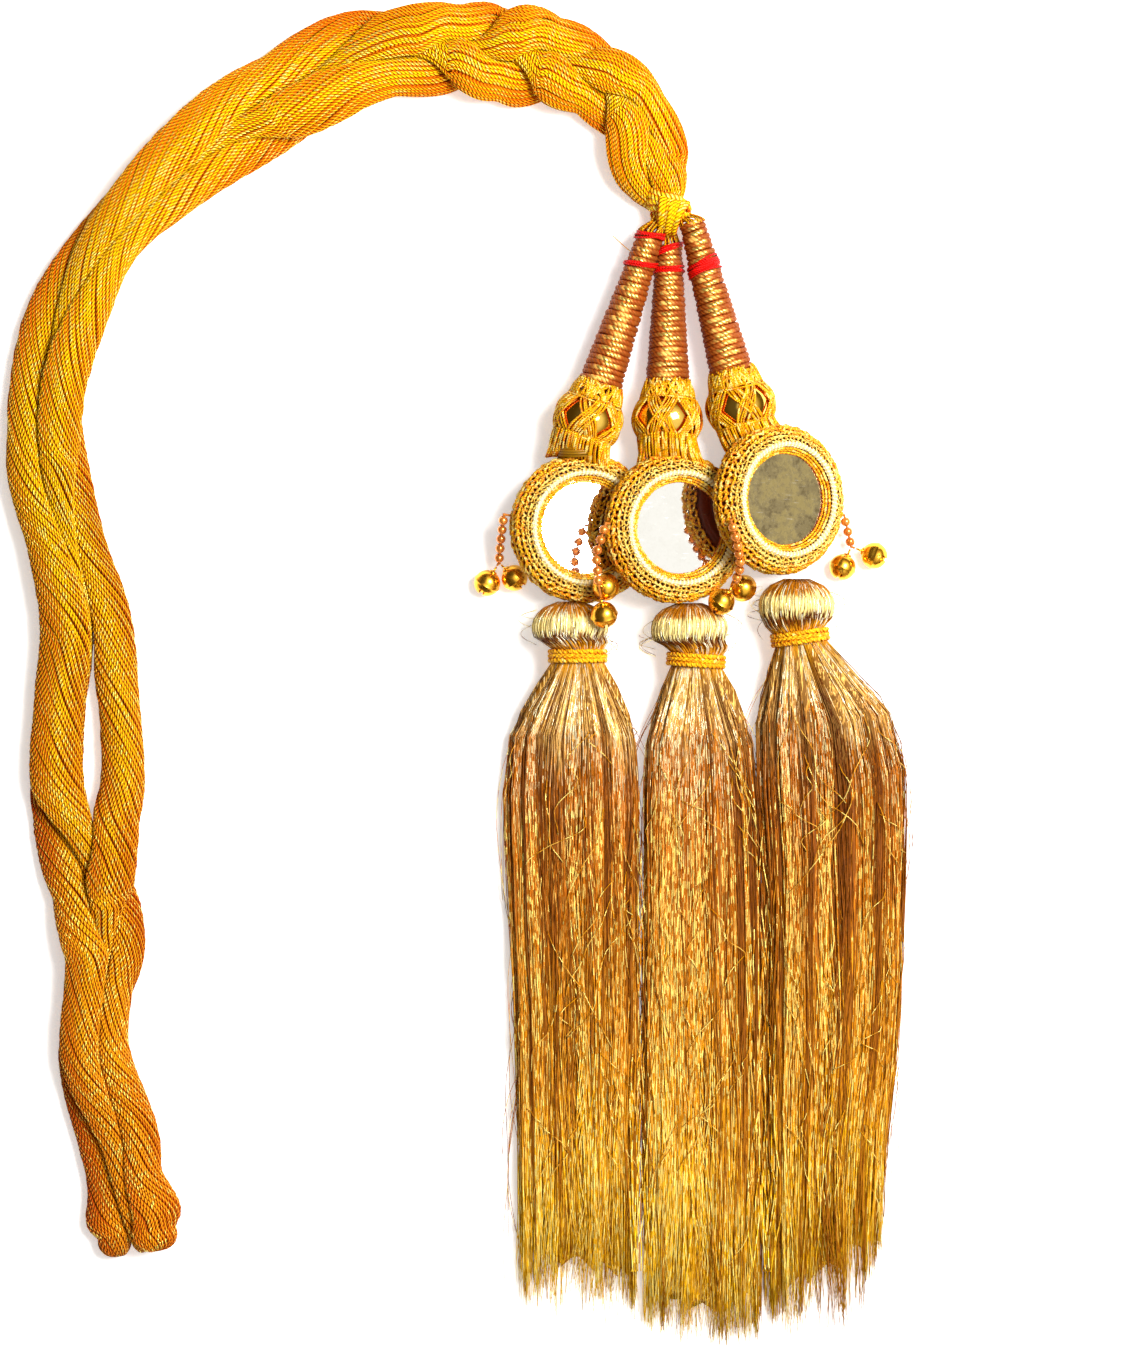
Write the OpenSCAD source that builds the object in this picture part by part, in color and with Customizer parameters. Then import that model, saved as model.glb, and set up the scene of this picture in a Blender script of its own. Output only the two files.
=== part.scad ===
/* [Hank of yarn] */
// Half width of one strand against the width of the three together
strand_share = 0.27; // [0.25:0.01:0.29]
// Clear gap between strands that press on each other
strand_gap = 0.6; // [0.3:0.05:0.7]
// Flat sides of a strand's section
strand_sides = 12; // [10:1:14]
// Least number of rings along a strand for each row of the hank's table
rings_per_row = 3; // [3:1:5]

/* [Wound stems] */
// Diameter of a stem at the knot
stem_top_d = 6.4; // [5.8:0.1:6.6]
// Diameter of a stem at its bead
stem_bead_d = 11.2; // [10:0.1:11.6]
// Distance from one turn of the winding to the next
wind_pitch = 1.6; // [1.2:0.1:2.2]
// Diameter of the core cord that carries bead and medallion
cord_d = 2; // [1.6:0.1:2.2]

/* [Caged beads] */
// Diameter across the thread cage
cage_d = 18; // [17:0.5:18.5]
// Length of the cage along the cord
cage_length = 15; // [14.5:0.1:15.2]
// Thickness of the thread cage
cage_wall = 0.75; // [0.6:0.05:0.9]
// Windows around the cage
cage_windows = 6; // [5:1:7]

/* [Mirror medallions] */
// Diameter of a medallion over its crochet rim
medallion_d = 36; // [35:0.5:36.5]
// Thickness of the padded rim
rim_thickness = 8.6; // [8:0.1:9]
// Diameter of the mirror that shows inside the rim
mirror_d = 23.8; // [22:0.1:24]

/* [Drops] */
// Diameter of the small beads on a drop
seed_d = 2.4; // [2:0.1:2.4]
// Diameter of a bell
bell_d = 6.8; // [6:0.1:6.9]

/* [Tassels] */
// Width of a tassel's head
head_w = 18.8; // [17:0.2:19]
// Height of a tassel's head above the surface it lies on
head_h = 16.2; // [15:0.2:16.4]
// Diameter of the neck inside its tie
neck_d = 12; // [11:0.2:12.2]
// Locks round a skirt
locks = 14; // [12:2:16]

/* [Hidden] */
// Middle of the whole piece's footprint in the coordinates of the tables below
FOOTPRINT_CENTRE = [-1.43, 0.85, 0];

// Columns of the hank's table
X = 0;
Y = 1;
WIDTH = 2;
HEIGHT = 3;
TURN = 4;
PARTING = 5;
// Hank from the knot to its far end: x, y, width, height, turn of the plait, parting
HANK = [
    [51.6, 118.6, 10.5, 9.5, -530, 0],
    [48.5, 125.5, 19, 11, -500, 0],
    [43.5, 139, 19, 11.5, -450, 0],
    [33, 149, 20, 11.5, -385, 0],
    [14.5, 154.5, 24.5, 11.5, -290, 0],
    [-5.5, 156, 22, 11.5, -187, 0],
    [-25, 154, 23.5, 11.5, -130, 0],
    [-42, 144.5, 24.5, 11.5, -95, 0],
    [-59.5, 134.5, 22, 11.5, -58, 0],
    [-75, 122, 19.5, 11.5, -38, 0],
    [-88.5, 108, 16.5, 11.5, -20, 0],
    [-98, 90.5, 19.5, 11, 0, 0],
    [-103, 71, 19.5, 10.5, 20, 0],
    [-103, 51, 20.5, 10.5, 40, 0],
    [-98.5, 31.5, 18.5, 10.5, 60, 0],
    [-94, 12, 22.5, 10, 76, 0.5],
    [-94, -7.5, 27.5, 9.5, 88, 3.6],
    [-94, -27.5, 30, 9.5, 92, 5],
    [-93.5, -42, 25, 10, 115, 1],
    [-89.5, -67.5, 20, 10.5, 183, 0],
    [-91, -80, 17, 10.5, 200, 0],
    [-92, -97, 19, 10.5, 215, 0],
    [-86, -116, 20, 10.5, 230, 0],
    [-84, -127, 18.5, 11, 238, 0],
    [-81.5, -137, 23, 11.5, 244, 0],
    [-80, -145.5, 9, 7, 250, 0]
];
STRANDS = 3;
// Most that the plait turns from one ring to the next, in degrees
turn_per_ring = 10;
// Shares of the hank's height: rest level, rise at a crossing, sink of a single strand, half thickness
mid_share = 0.47;
rise_share = 0.2;
sink_share = 0.08;
half_height_share = 0.39;
// A strand that crosses another spreads sideways and thins
cross_spread = 0.28;
cross_thin = 0.25;
// Power of the soft minimum that rounds a strand's corners
corner_power = 8;
// Least cosine at which a neighbour limits a strand
least_facing = 0.05;
// Step along the hank's table for finding its direction
slope_step = 0.02;

// Names of the three pendants, in the order of the tables below
SIDES = ["left", "middle", "right"];
// Upper end of each stem and centre of its bead
STEM_TOPS = [[48, 110.3, 8], [52.3, 107.2, 3.6], [57.9, 112.9, 7.8]];
BEADS = [[32, 63, 9], [51.8, 63.1, 9], [70.2, 66.2, 9]];
// Centre of each medallion, and how far it has turned about its own length
MEDALLIONS = [[30.8, 36, 8.2], [53.8, 35.9, 11.4], [79.5, 43, 12.1]];
TURNS = [15, 21, 33];
// Turn of each cage, so that one window faces up and a little to the left
CAGE_TURNS = [-28, -18, -40];
// Gap between pieces that rest on each other, and the reach of the core cord past a bead
seat_gap = 0.25;
cord_reach = 0.5;
// Swelling of the core cord where it bends
cord_swell = 0.2;
// Depth of the winding's grooves, and the shares of a turn between which its crest lies
wind_depth = 0.35;
crest_start = 0.25;
crest_end = 0.75;

// Columns of the red ties' table
TIE_NAME = 0;
TIE_STEM = 1;
TIE_PLACE = 2;
TIE_WIDTH = 3;
// Red ties: name, stem, distance from its upper end, width
TIES = [
    ["left_end", 0, 1.4, 1.4],
    ["left", 0, 9, 1.2],
    ["middle_end", 1, 1.4, 1.2],
    ["middle", 1, 6.8, 1.2],
    ["right", 2, 12, 4]
];
// How far a tie bites into the winding, its thickness, and the room round it
tie_sink = 0.55;
tie_thickness = 0.6;
tie_clearance = 0.12;
tie_margin = 0.15;

// Knot where stems and hank meet: x, y, z, radius of each lump
KNOT = [[51.8, 113.8, 6.2, 3.5], [53.4, 116.2, 5, 2.6], [50.4, 114.4, 4.6, 2.9],
    [51.2, 112, 8.4, 1.4], [52.2, 109.2, 4.9, 1.3]];

// Clearances of the gold bead on its cord and in its cage
bead_clearance = 0.15;
// Width and height of a window in the cage
window_w = 6.4;
window_h = 9;

// Levels of the mirror's pocket above the middle plane of a medallion
pocket_floor = 0.8;
pocket_depth = 1.9;
pocket_slack = 0.12;
mirror_lip = 0.5;
medallion_back = -3;
// Slope of the rim round the mirror, as the width that it opens by
mirror_bevel = 1.2;
// Wound metal ring on the rim: diameter of its roll, distance outside the mirror, height over the rim
ring_tube_d = 1.7;
ring_margin = 1.9;
ring_lift = 0.35;
ring_slack = 0.2;

// Columns of the drops' table
DROP_NAME = 0;
HUNG_FROM = 1;
PATH = 2;
SEEDS = 3;
BELLS = 4;
// Drops: name, medallion, path from the rim to the fork, small beads on each stretch of it, the two bells
DROPS = [
    ["left", 0, [[11, 39.3, 11.6], [10.1, 32.1, 8.1], [9.7, 27.4, 5.3]], [3, 2],
        [[6.7, 22.3, 3.45], [13.6, 23.6, 3.45]]],
    ["middle", 1, [[36.4, 36.9, 20.2], [33.9, 29, 20.6], [34.6, 21.4, 21.3]], [3, 3],
        [[36.4, 21.2, 15.9], [36, 14.2, 17]]],
    ["right_inner", 2, [[67.3, 37.4, 25.1], [68.9, 32.2, 23.6], [69.9, 26.3, 19], [68.7, 22.6, 15.2]],
        [2, 3, 2], [[65.2, 17.5, 13.5], [70.75, 21, 8.3]]],
    ["right_outer", 2, [[96.2, 39.3, 4.2], [98, 31.4, 3.8]], [3],
        [[95.8, 26.3, 3.45], [103.8, 29.2, 3.45]]]
];
drop_thread_d = 0.6;
thread_sides = 8;
fork_knot_d = 0.8;
seed_bore_d = 1.1;
// Bare thread between a drop's upper knot and its first bead
thread_lead = 0.4;
// Wall of a bell, the slit across its mouth and the share of the bell that it reaches up
bell_wall = 0.5;
bell_slit = 0.8;
slit_reach = 0.4;
// Round holes at the slit's ends, and how far they are from the mouth's middle, in degrees
bell_hole_d = 1.6;
bell_hole_angle = 52;
// Wire loop on top of a bell
bell_loop_r = 0.8;
bell_wire_d = 0.5;

// Tassels: head centre, head length, neck centre, lean of the neck
HEADS = [[27.6, 11.3, 8.2], [57.4, 10.9, 8.2], [84.2, 16.6, 8.2]];
HEAD_LENGTHS = [13.2, 13.2, 14];
NECKS = [[29.4, 4, 7.65], [59, 2.9, 7.65], [85, 8.7, 7.65]];
LEANS = [0, -4, 8];
neck_length = 5.2;
// Angles round a head, from its top to where the neck begins
HEAD_ANGLES = [72, 48, 24, 0, -28];
// Columns of a tassel's rows
ROW_Y = 0;
LEFT = 1;
RIGHT = 2;
LOW = 3;
HIGH = 4;
TILT = 5;
// Skirts, a row for each height below the neck: y, left edge, right edge, lowest and highest level
SKIRTS = [
    [[0.2, 22.2, 36.8, 0.6, 13.6], [-7, 16, 41.6, 0, 12], [-22, 11.6, 45, 0, 9.5],
        [-52, 12, 45.3, 0, 9], [-90, 13.6, 45.3, 0, 8.5], [-130, 14.4, 45, 0, 8]],
    [[-0.8, 51.8, 67, 0.6, 13.6], [-8, 48.6, 70.6, 0, 12], [-22, 45.8, 73.8, 0, 9.5],
        [-52, 45.7, 75.4, 0, 9], [-90, 45.7, 76, 0, 8.5], [-136, 45.6, 76, 0, 8]],
    [[4.6, 77.8, 92.8, 0.6, 13.6], [-6, 75.2, 104.6, 0, 12], [-22, 74.4, 110.6, 0, 9.5],
        [-52, 76.1, 111, 0, 9], [-90, 76.5, 109.6, 0, 8.5], [-126, 76.5, 106.5, 0, 8]]
];
// Where the locks of each skirt end: left, middle, right
HEMS = [[-148, -154, -156], [-157, -165, -160], [-158, -156, -142]];
// Points round each lock, depth of the furrows between locks, and length over which they deepen
lock_points = 4;
furrow_depth = 0.24;
furrow_start = 8;
furrow_power = 1.5;
// Squareness of a skirt's upper side and of the side it lies on, where 1 is round
top_squareness = 0.8;
bed_squareness = 0.4;
// Length of the notches between the ends of the locks, and how much the ends differ
notch_length = 9;
hem_wander = 2.5;
golden_turn = 137.5;
// Thickness left at the hem, and the length over which it thins
hem_thickness = 3;
hem_taper = 12;
// Neck ties: turns of the thread, its diameter, and the share of that from one turn to the next
tie_wraps = 3;
wrap_d = 1.3;
wrap_share = 0.85;

// Smooth curve through rows b and c, with rows a and d beyond them
function through(a, b, c, d, t) =
    0.5 * (2 * b + (c - a) * t + (2 * a - 5 * b + 4 * c - d) * t * t
        + (3 * b - a - 3 * c + d) * t * t * t);

// Row of a table at any place u, a whole number at each row
function row_at(table, u) =
    let (last = len(table) - 1, i = min(floor(u), last - 1))
    through(table[max(i - 1, 0)], table[i], table[i + 1], table[min(i + 2, last)], u - i);

// Unit vector that lies across the hank, to the inner side of its arc
function across(u) =
    let (last = len(HANK) - 1,
        p = row_at(HANK, max(u - slope_step, 0)),
        q = row_at(HANK, min(u + slope_step, last)),
        t = [q[X] - p[X], q[Y] - p[Y]])
    [-t[1], t[0]] / norm(t);

// Room of strand k at a row: side offset, height, half width, half thickness
function strand_room(row, k) =
    let (phi = row[TURN] + 360 * k / STRANDS,
        crossing = abs(sin(2 * phi)),
        packed = row[WIDTH] - row[PARTING],
        half = strand_share * packed,
        side = (packed / 2 - half) * sin(phi) + row[PARTING] * (k == 0 ? 0.5 : -0.5),
        level = mid_share - rise_share * sin(2 * phi) - sink_share * (1 - crossing))
    [side, level * row[HEIGHT], half * (1 + cross_spread * crossing),
        half_height_share * row[HEIGHT] * (1 - cross_thin * crossing)];

// Limit that a neighbour's room sets in direction u, seen from a strand's own centre
function neighbour_term(own, other, u) =
    let (d = [other[0] - own[0], other[1] - own[1]],
        facing = u * d / norm(d))
    facing < least_facing ? 0 : pow(facing / (norm(d) / 2 - strand_gap / 2), corner_power);

function floor_term(own, u) = u[1] < -least_facing ? pow(-u[1] / own[1], corner_power) : 0;

// Distance from a strand's centre to its surface in the direction of an angle
function strand_reach(row, k, angle) =
    let (own = strand_room(row, k),
        u = [cos(angle), sin(angle)],
        free = pow(norm([u[0] / own[2], u[1] / own[3]]), corner_power),
        near = neighbour_term(own, strand_room(row, (k + 1) % STRANDS), u)
            + neighbour_term(own, strand_room(row, (k + 2) % STRANDS), u))
    pow(free + near + floor_term(own, u), -1 / corner_power);

// Ring of points round strand k at place u of the hank's table
function strand_ring(u, k) =
    let (row = row_at(HANK, u), n = across(u), own = strand_room(row, k))
    [for (j = [0 : strand_sides - 1])
        let (angle = 360 * j / strand_sides, r = strand_reach(row, k, angle),
            side = own[0] + r * cos(angle))
        [row[X] + n[0] * side, row[Y] + n[1] * side, own[1] + r * sin(angle)]];

// Places of the rings along the hank, closer together where the plait turns fast
function ring_places() =
    let (last = len(HANK) - 1)
    concat([for (i = [0 : last - 1])
        let (turn = abs(HANK[i + 1][TURN] - HANK[i][TURN]),
            n = max(rings_per_row, ceil(turn / turn_per_ring)))
        for (s = [0 : n - 1]) i + s / n], [last]);

// Side faces between rings of n points each
function side_faces(n, last) =
    [for (i = [0 : last - 1], j = [0 : n - 1])
        let (a = i * n + j, b = i * n + (j + 1) % n, c = b + n, d = a + n)
        each [[a, d, c], [a, c, b]]];

// Closed skin over rings of points, with flat ends
module skin(rings) {
    n = len(rings[0]);
    last = len(rings) - 1;
    near_end = [for (j = [0 : n - 1]) j];
    far_end = [for (j = [n - 1 : -1 : 0]) last * n + j];
    faces = concat([near_end], side_faces(n, last), [far_end]);
    polyhedron(points = [for (r = rings) each r], faces = faces);
}

module hank_strand(k) {
    color([0.96, 0.72, 0.08]) skin([for (u = ring_places()) strand_ring(u, k)]);
}

// Puts the z axis on the line from one point to another
module aim(from, to) {
    d = to - from;
    translate(from)
        rotate([0, acos(d[2] / norm(d)), atan2(d[1], d[0])])
            children();
}

module rod(from, to, d, sides = 48) {
    aim(from, to) cylinder(d = d, h = norm(to - from), $fn = sides);
}

module knot() {
    color([0.98, 0.82, 0.1])
        hull()
            for (lump = KNOT)
                translate([lump[0], lump[1], lump[2]]) sphere(r = lump[3], $fn = 16);
}

function stem_length(i) = norm(BEADS[i] - STEM_TOPS[i]) - cage_length / 2 - seat_gap;

// Radius over the crests of the winding at distance z from a stem's upper end
function stem_radius(i, z) =
    stem_top_d / 2 + (stem_bead_d - stem_top_d) / 2 * min(1, z / stem_length(i));

// The tie that a stem's winding makes room for at distance z, if there is one
function tie_at(i, z) =
    [for (t = TIES) if (t[TIE_STEM] == i && abs(z - t[TIE_PLACE]) < t[TIE_WIDTH] / 2 + tie_margin) t];

function tie_groove(i, t) =
    let (reach = t[TIE_WIDTH] / 2 + tie_margin, low = t[TIE_PLACE] - reach, high = t[TIE_PLACE] + reach,
        base = stem_radius(i, t[TIE_PLACE]) - tie_sink)
    [[stem_radius(i, low), low], [base, low], [base, high], [stem_radius(i, high), high]];

// Outline of a stem's winding: a groove at the start of each turn, a flat crest, and the ties' grooves
function winding(i) =
    let (turns = floor(stem_length(i) / wind_pitch), pitch = stem_length(i) / turns,
        levels = [for (t = [0 : turns - 1], f = [0, crest_start, crest_end]) (t + f) * pitch])
    [for (k = [0 : len(levels) - 1])
        let (z = levels[k], here = tie_at(i, z), before = k == 0 ? [] : tie_at(i, levels[k - 1]))
        each (len(here) == 0 ? [[stem_radius(i, z) - (k % 3 == 0 ? wind_depth : 0), z]]
            : len(before) == 0 ? tie_groove(i, here[0]) : [])];

// Point just off a medallion's rim, on the line from a point towards the middle of the rim's roll
function rim_target(i, from) =
    let (roll = rim_thickness / 2, ring_r = medallion_d / 2 - roll, c = MEDALLIONS[i],
        sideways = [cos(TURNS[i]), 0, -sin(TURNS[i])],
        v = from - c, a = v * sideways, b = v[1],
        on_ring = c + ring_r * (a * sideways + b * [0, 1, 0]) / norm([a, b]),
        line = from - on_ring)
    on_ring + line / norm(line) * (roll + seat_gap);

module stem(i) {
    length = stem_length(i);
    bead_end = length + cage_length + 2 * seat_gap + cord_reach;
    axis = (BEADS[i] - STEM_TOPS[i]) / norm(BEADS[i] - STEM_TOPS[i]);
    exit = STEM_TOPS[i] + axis * bead_end;
    color([0.85, 0.6, 0.15]) {
        aim(STEM_TOPS[i], BEADS[i])
            rotate_extrude($fn = 48)
                polygon(concat([[0, 0]], winding(i),
                    [[stem_bead_d / 2 - wind_depth, length], [cord_d / 2, length],
                        [cord_d / 2, bead_end], [0, bead_end]]));
        translate(exit) sphere(d = cord_d + cord_swell, $fn = 48);
        rod(exit, rim_target(i, exit), cord_d);
    }
}

module red_tie(t) {
    i = t[TIE_STEM];
    width = t[TIE_WIDTH];
    inner = stem_radius(i, t[TIE_PLACE]) - tie_sink + tie_clearance;
    color([0.85, 0.05, 0.08])
        aim(STEM_TOPS[i], BEADS[i])
            translate([0, 0, t[TIE_PLACE] - width / 2])
                difference() {
                    cylinder(r = inner + tie_thickness, h = width, $fn = 48);
                    translate([0, 0, -1]) cylinder(r = inner, h = width + 2, $fn = 48);
                }
}

// Half outline of an oblate ball of the given width and length, from radius bore outwards
module ball_outline(width, length, bore) {
    flat = (width - length) / 2;
    intersection() {
        union() {
            translate([flat, 0]) circle(d = length, $fn = 64);
            translate([0, -length / 2]) square([flat, length]);
        }
        translate([bore, -length]) square([width, 2 * length]);
    }
}

module gold_bead(i) {
    shrink = 2 * (cage_wall + bead_clearance);
    color([0.9, 0.68, 0.2])
        aim(BEADS[i], BEADS[i] + BEADS[i] - STEM_TOPS[i])
            rotate_extrude($fn = 64)
                ball_outline(cage_d - shrink, cage_length - shrink, cord_d / 2 + bead_clearance);
}

module bead_cage(i) {
    color([0.95, 0.7, 0.08])
        aim(BEADS[i], BEADS[i] + BEADS[i] - STEM_TOPS[i])
            difference() {
                rotate_extrude($fn = 64)
                    difference() {
                        ball_outline(cage_d, cage_length, cord_d / 2 + 2 * bead_clearance);
                        ball_outline(cage_d - 2 * cage_wall, cage_length - 2 * cage_wall, 0);
                    }
                for (k = [0 : cage_windows - 1])
                    rotate([0, 0, 180 + CAGE_TURNS[i] + 360 * k / cage_windows])
                        rotate([90, 0, 90])
                            linear_extrude(cage_d)
                                polygon([[window_w / 2, 0], [0, window_h / 2],
                                    [-window_w / 2, 0], [0, -window_h / 2]]);
            }
}

module place_medallion(i) {
    translate(MEDALLIONS[i]) rotate([0, TURNS[i], 0]) children();
}

// Middle of the wound metal ring's roll, as a distance from the medallion's axis and a height
function ring_middle() = [mirror_d / 2 + ring_margin, rim_thickness / 2 + ring_lift];

module medallion(i) {
    roll = rim_thickness / 2;
    ring_r = medallion_d / 2 - roll;
    pocket_top = pocket_floor + pocket_depth;
    opening = mirror_d / 2;
    color([0.9, 0.66, 0.18])
        place_medallion(i)
            rotate_extrude($fn = 72)
                difference() {
                    union() {
                        intersection() {
                            translate([ring_r, 0]) circle(d = rim_thickness, $fn = 64);
                            translate([0, -roll]) square([medallion_d, rim_thickness]);
                        }
                        translate([0, medallion_back]) square([ring_r, pocket_floor - medallion_back]);
                    }
                    translate([-1, pocket_floor]) square([opening + mirror_lip + 1, pocket_depth]);
                    polygon([[-1, pocket_floor], [opening, pocket_floor], [opening, pocket_top],
                        [opening + mirror_bevel, roll + 1], [-1, roll + 1]]);
                    translate(ring_middle()) circle(d = ring_tube_d + 2 * ring_slack, $fn = 32);
                }
}

module zari_ring(i) {
    color([0.95, 0.86, 0.6])
        place_medallion(i)
            rotate_extrude($fn = 72)
                translate(ring_middle()) circle(d = ring_tube_d, $fn = 32);
}

module mirror_disc(i) {
    thickness = pocket_depth - 2 * pocket_slack;
    color([0.85, 0.87, 0.88])
        place_medallion(i)
            translate([0, 0, pocket_floor + pocket_slack])
                cylinder(d = mirror_d + 2 * (mirror_lip - pocket_slack), h = thickness, $fn = 72);
}

// Centre of the wire loop on top of a bell, on the way to the drop's fork
function bell_loop(bell, fork) =
    bell + (fork - bell) / norm(fork - bell) * (bell_d / 2 + bell_loop_r - bell_wire_d / 2);

module drop_thread(d) {
    path = d[PATH];
    points = concat([rim_target(d[HUNG_FROM], path[0])], path);
    fork = path[len(path) - 1];
    color([0.6, 0.35, 0.1]) {
        for (k = [1 : len(points) - 1]) {
            rod(points[k - 1], points[k], drop_thread_d, thread_sides);
            translate(points[k]) sphere(d = fork_knot_d, $fn = thread_sides);
        }
        for (bell = d[BELLS]) {
            eye = bell_loop(bell, fork);
            toward = (fork - eye) / norm(fork - eye);
            loop_side = eye + toward * (bell_loop_r + bell_wire_d / 2 + seat_gap);
            rod(fork, loop_side, drop_thread_d, thread_sides);
        }
    }
}

// Small beads spread evenly on each stretch of the path, so that none sits on a corner
module drop_beads(d) {
    path = d[PATH];
    color([0.88, 0.55, 0.15])
        for (n = [1 : len(path) - 1]) {
            lead = n == 1 ? thread_lead : 0;
            pitch = (norm(path[n] - path[n - 1]) - lead) / d[SEEDS][n - 1];
            aim(path[n - 1], path[n])
                for (k = [0 : d[SEEDS][n - 1] - 1])
                    translate([0, 0, lead + (k + 0.5) * pitch])
                        difference() {
                            sphere(d = seed_d, $fn = 24);
                            cylinder(d = seed_bore_d, h = 2 * seed_d, center = true, $fn = 16);
                        }
        }
}

module bell(bell, fork) {
    color([0.9, 0.62, 0.12])
        aim(bell, fork) {
            difference() {
                sphere(d = bell_d, $fn = 48);
                sphere(d = bell_d - 2 * bell_wall, $fn = 48);
                translate([-bell_d / 2, -bell_slit / 2, -bell_d])
                    cube([bell_d, bell_slit, bell_d * (0.5 + slit_reach)]);
                for (side = [-1, 1])
                    rotate([0, side * bell_hole_angle, 0])
                        translate([0, 0, -bell_d]) cylinder(d = bell_hole_d, h = bell_d * 0.8, $fn = 24);
            }
            translate([0, 0, bell_d / 2 + bell_loop_r - bell_wire_d / 2])
                rotate([90, 0, 0])
                    rotate_extrude($fn = 32)
                        translate([bell_loop_r, 0]) circle(d = bell_wire_d, $fn = 16);
        }
}

// Height of the hem at a share f of a skirt's width, through its three named values
function hem_at(hem, f) =
    hem[0] * (1 - f) * (1 - 2 * f) + hem[1] * 4 * f * (1 - f) + hem[2] * f * (2 * f - 1);

function head_rows(i) =
    [for (a = HEAD_ANGLES)
        let (c = HEADS[i], w = head_w / 2 * cos(a), h = head_h / 2 * cos(a))
        [c[1] + HEAD_LENGTHS[i] / 2 * sin(a), c[0] - w, c[0] + w, c[2] - h, c[2] + h, 0]];

function neck_rows(i) =
    [for (dy = [neck_length / 2, -neck_length / 2])
        let (c = NECKS[i], x = c[0] - dy * tan(LEANS[i]), r = neck_d / 2)
        [c[1] + dy, x - r, x + r, c[2] - r, c[2] + r, LEANS[i]]];

function skirt_rows(i) =
    [for (k = [0 : len(SKIRTS[i]) - 1]) concat(SKIRTS[i][k], [k == 0 ? LEANS[i] / 2 : 0])];

// 0 on the crest of a lock and 1 in the furrow beside it, for point j of a ring
function furrow(j) = pow(abs(sin(180 * j / lock_points)), furrow_power);

// Point j of a tassel's ring at a row; skirt goes from 0 on the round neck to 1 on the furrowed skirt
function tassel_point(row, j, skirt) =
    let (a = 360 * j / (locks * lock_points),
        inward = 1 - skirt * furrow_depth * furrow(j),
        side_power = 1 + skirt * (top_squareness - 1),
        lift_power = 1 + skirt * ((sin(a) > 0 ? top_squareness : bed_squareness) - 1),
        side = sign(cos(a)) * pow(abs(cos(a)), side_power) * inward,
        lift = sign(sin(a)) * pow(abs(sin(a)), lift_power) * inward,
        off = side * (row[RIGHT] - row[LEFT]) / 2)
    [(row[LEFT] + row[RIGHT]) / 2 + off, row[ROW_Y] + off * tan(row[TILT]),
        (row[LOW] + row[HIGH]) / 2 + lift * (row[HIGH] - row[LOW]) / 2];

// Hem below point j: the lock's own end, drawn back in the furrow
function hem_y(i, row, j) =
    let (p = tassel_point(row, j, 0), f = (p[0] - row[LEFT]) / (row[RIGHT] - row[LEFT]),
        top_j = min(j, locks * lock_points - j), lock = round(top_j / lock_points))
    hem_at(HEMS[i], f) + hem_wander * sin(golden_turn * (lock + 3 * i)) + notch_length * furrow(j);

function hem_ring(i, row, back, thickness) =
    [for (j = [0 : locks * lock_points - 1])
        let (thin = [row[ROW_Y], row[LEFT], row[RIGHT], 0, thickness, 0], p = tassel_point(thin, j, 1))
        [p[0], hem_y(i, row, j) + back, p[2]]];

function tassel_rings(i) =
    let (rows = concat(head_rows(i), neck_rows(i), skirt_rows(i)), last = rows[len(rows) - 1],
        neck_end = NECKS[i][1] - neck_length / 2)
    concat(
        [for (row = rows)
            let (skirt = min(1, max(0, (neck_end - row[ROW_Y]) / furrow_start)))
            [for (j = [0 : locks * lock_points - 1]) tassel_point(row, j, skirt)]],
        [hem_ring(i, last, hem_taper, (hem_thickness + last[HIGH]) / 2), hem_ring(i, last, 0, hem_thickness)]
    );

// Closed skin over rings whose last one is closed by strips from its upper to its lower half
module hemmed_skin(rings) {
    n = len(rings[0]);
    last = len(rings) - 1;
    top_end = [for (j = [0 : n - 1]) j];
    hem = [for (j = [0 : n / 2 - 1])
        let (a = last * n + j, b = a + 1, c = last * n + (n - j - 1) % n, d = last * n + (n - j) % n)
        each (j == 0 ? [[a, c, b]] : j == n / 2 - 1 ? [[a, d, b]] : [[a, d, b], [d, c, b]])];
    polyhedron(points = [for (r = rings) each r], faces = concat([top_end], side_faces(n, last), hem));
}

module tassel(i) {
    color([0.78, 0.58, 0.2]) {
        hemmed_skin(tassel_rings(i));
        rod(HEADS[i], rim_target(i, HEADS[i]), cord_d);
    }
}

module neck_tie(i) {
    inner = neck_d / 2 + seat_gap;
    color([0.95, 0.62, 0.05])
        translate(NECKS[i])
            rotate([90, 0, LEANS[i]])
                rotate_extrude($fn = 48)
                    for (k = [0 : tie_wraps - 1])
                        translate([inner + wrap_d / 2, (k - (tie_wraps - 1) / 2) * wrap_d * wrap_share])
                            circle(d = wrap_d, $fn = 32);
}

// Moves a piece from the tables' coordinates to the origin under the middle of the footprint
module place() {
    translate(-FOOTPRINT_CENTRE) children();
}

for (k = [0 : STRANDS - 1])
    place() hank_strand(k);
place() knot();
for (i = [0 : len(SIDES) - 1]) {
    place() stem(i);
    place() gold_bead(i);
    place() bead_cage(i);
    place() medallion(i);
    place() zari_ring(i);
    place() mirror_disc(i);
    place() tassel(i);
    place() neck_tie(i);
}
for (t = TIES)
    place() red_tie(t);
for (d = DROPS) {
    fork = d[PATH][len(d[PATH]) - 1];
    place() drop_thread(d);
    place() drop_beads(d);
    for (k = [1, 2])
        place() bell(d[BELLS][k - 1], fork);
}
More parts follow.
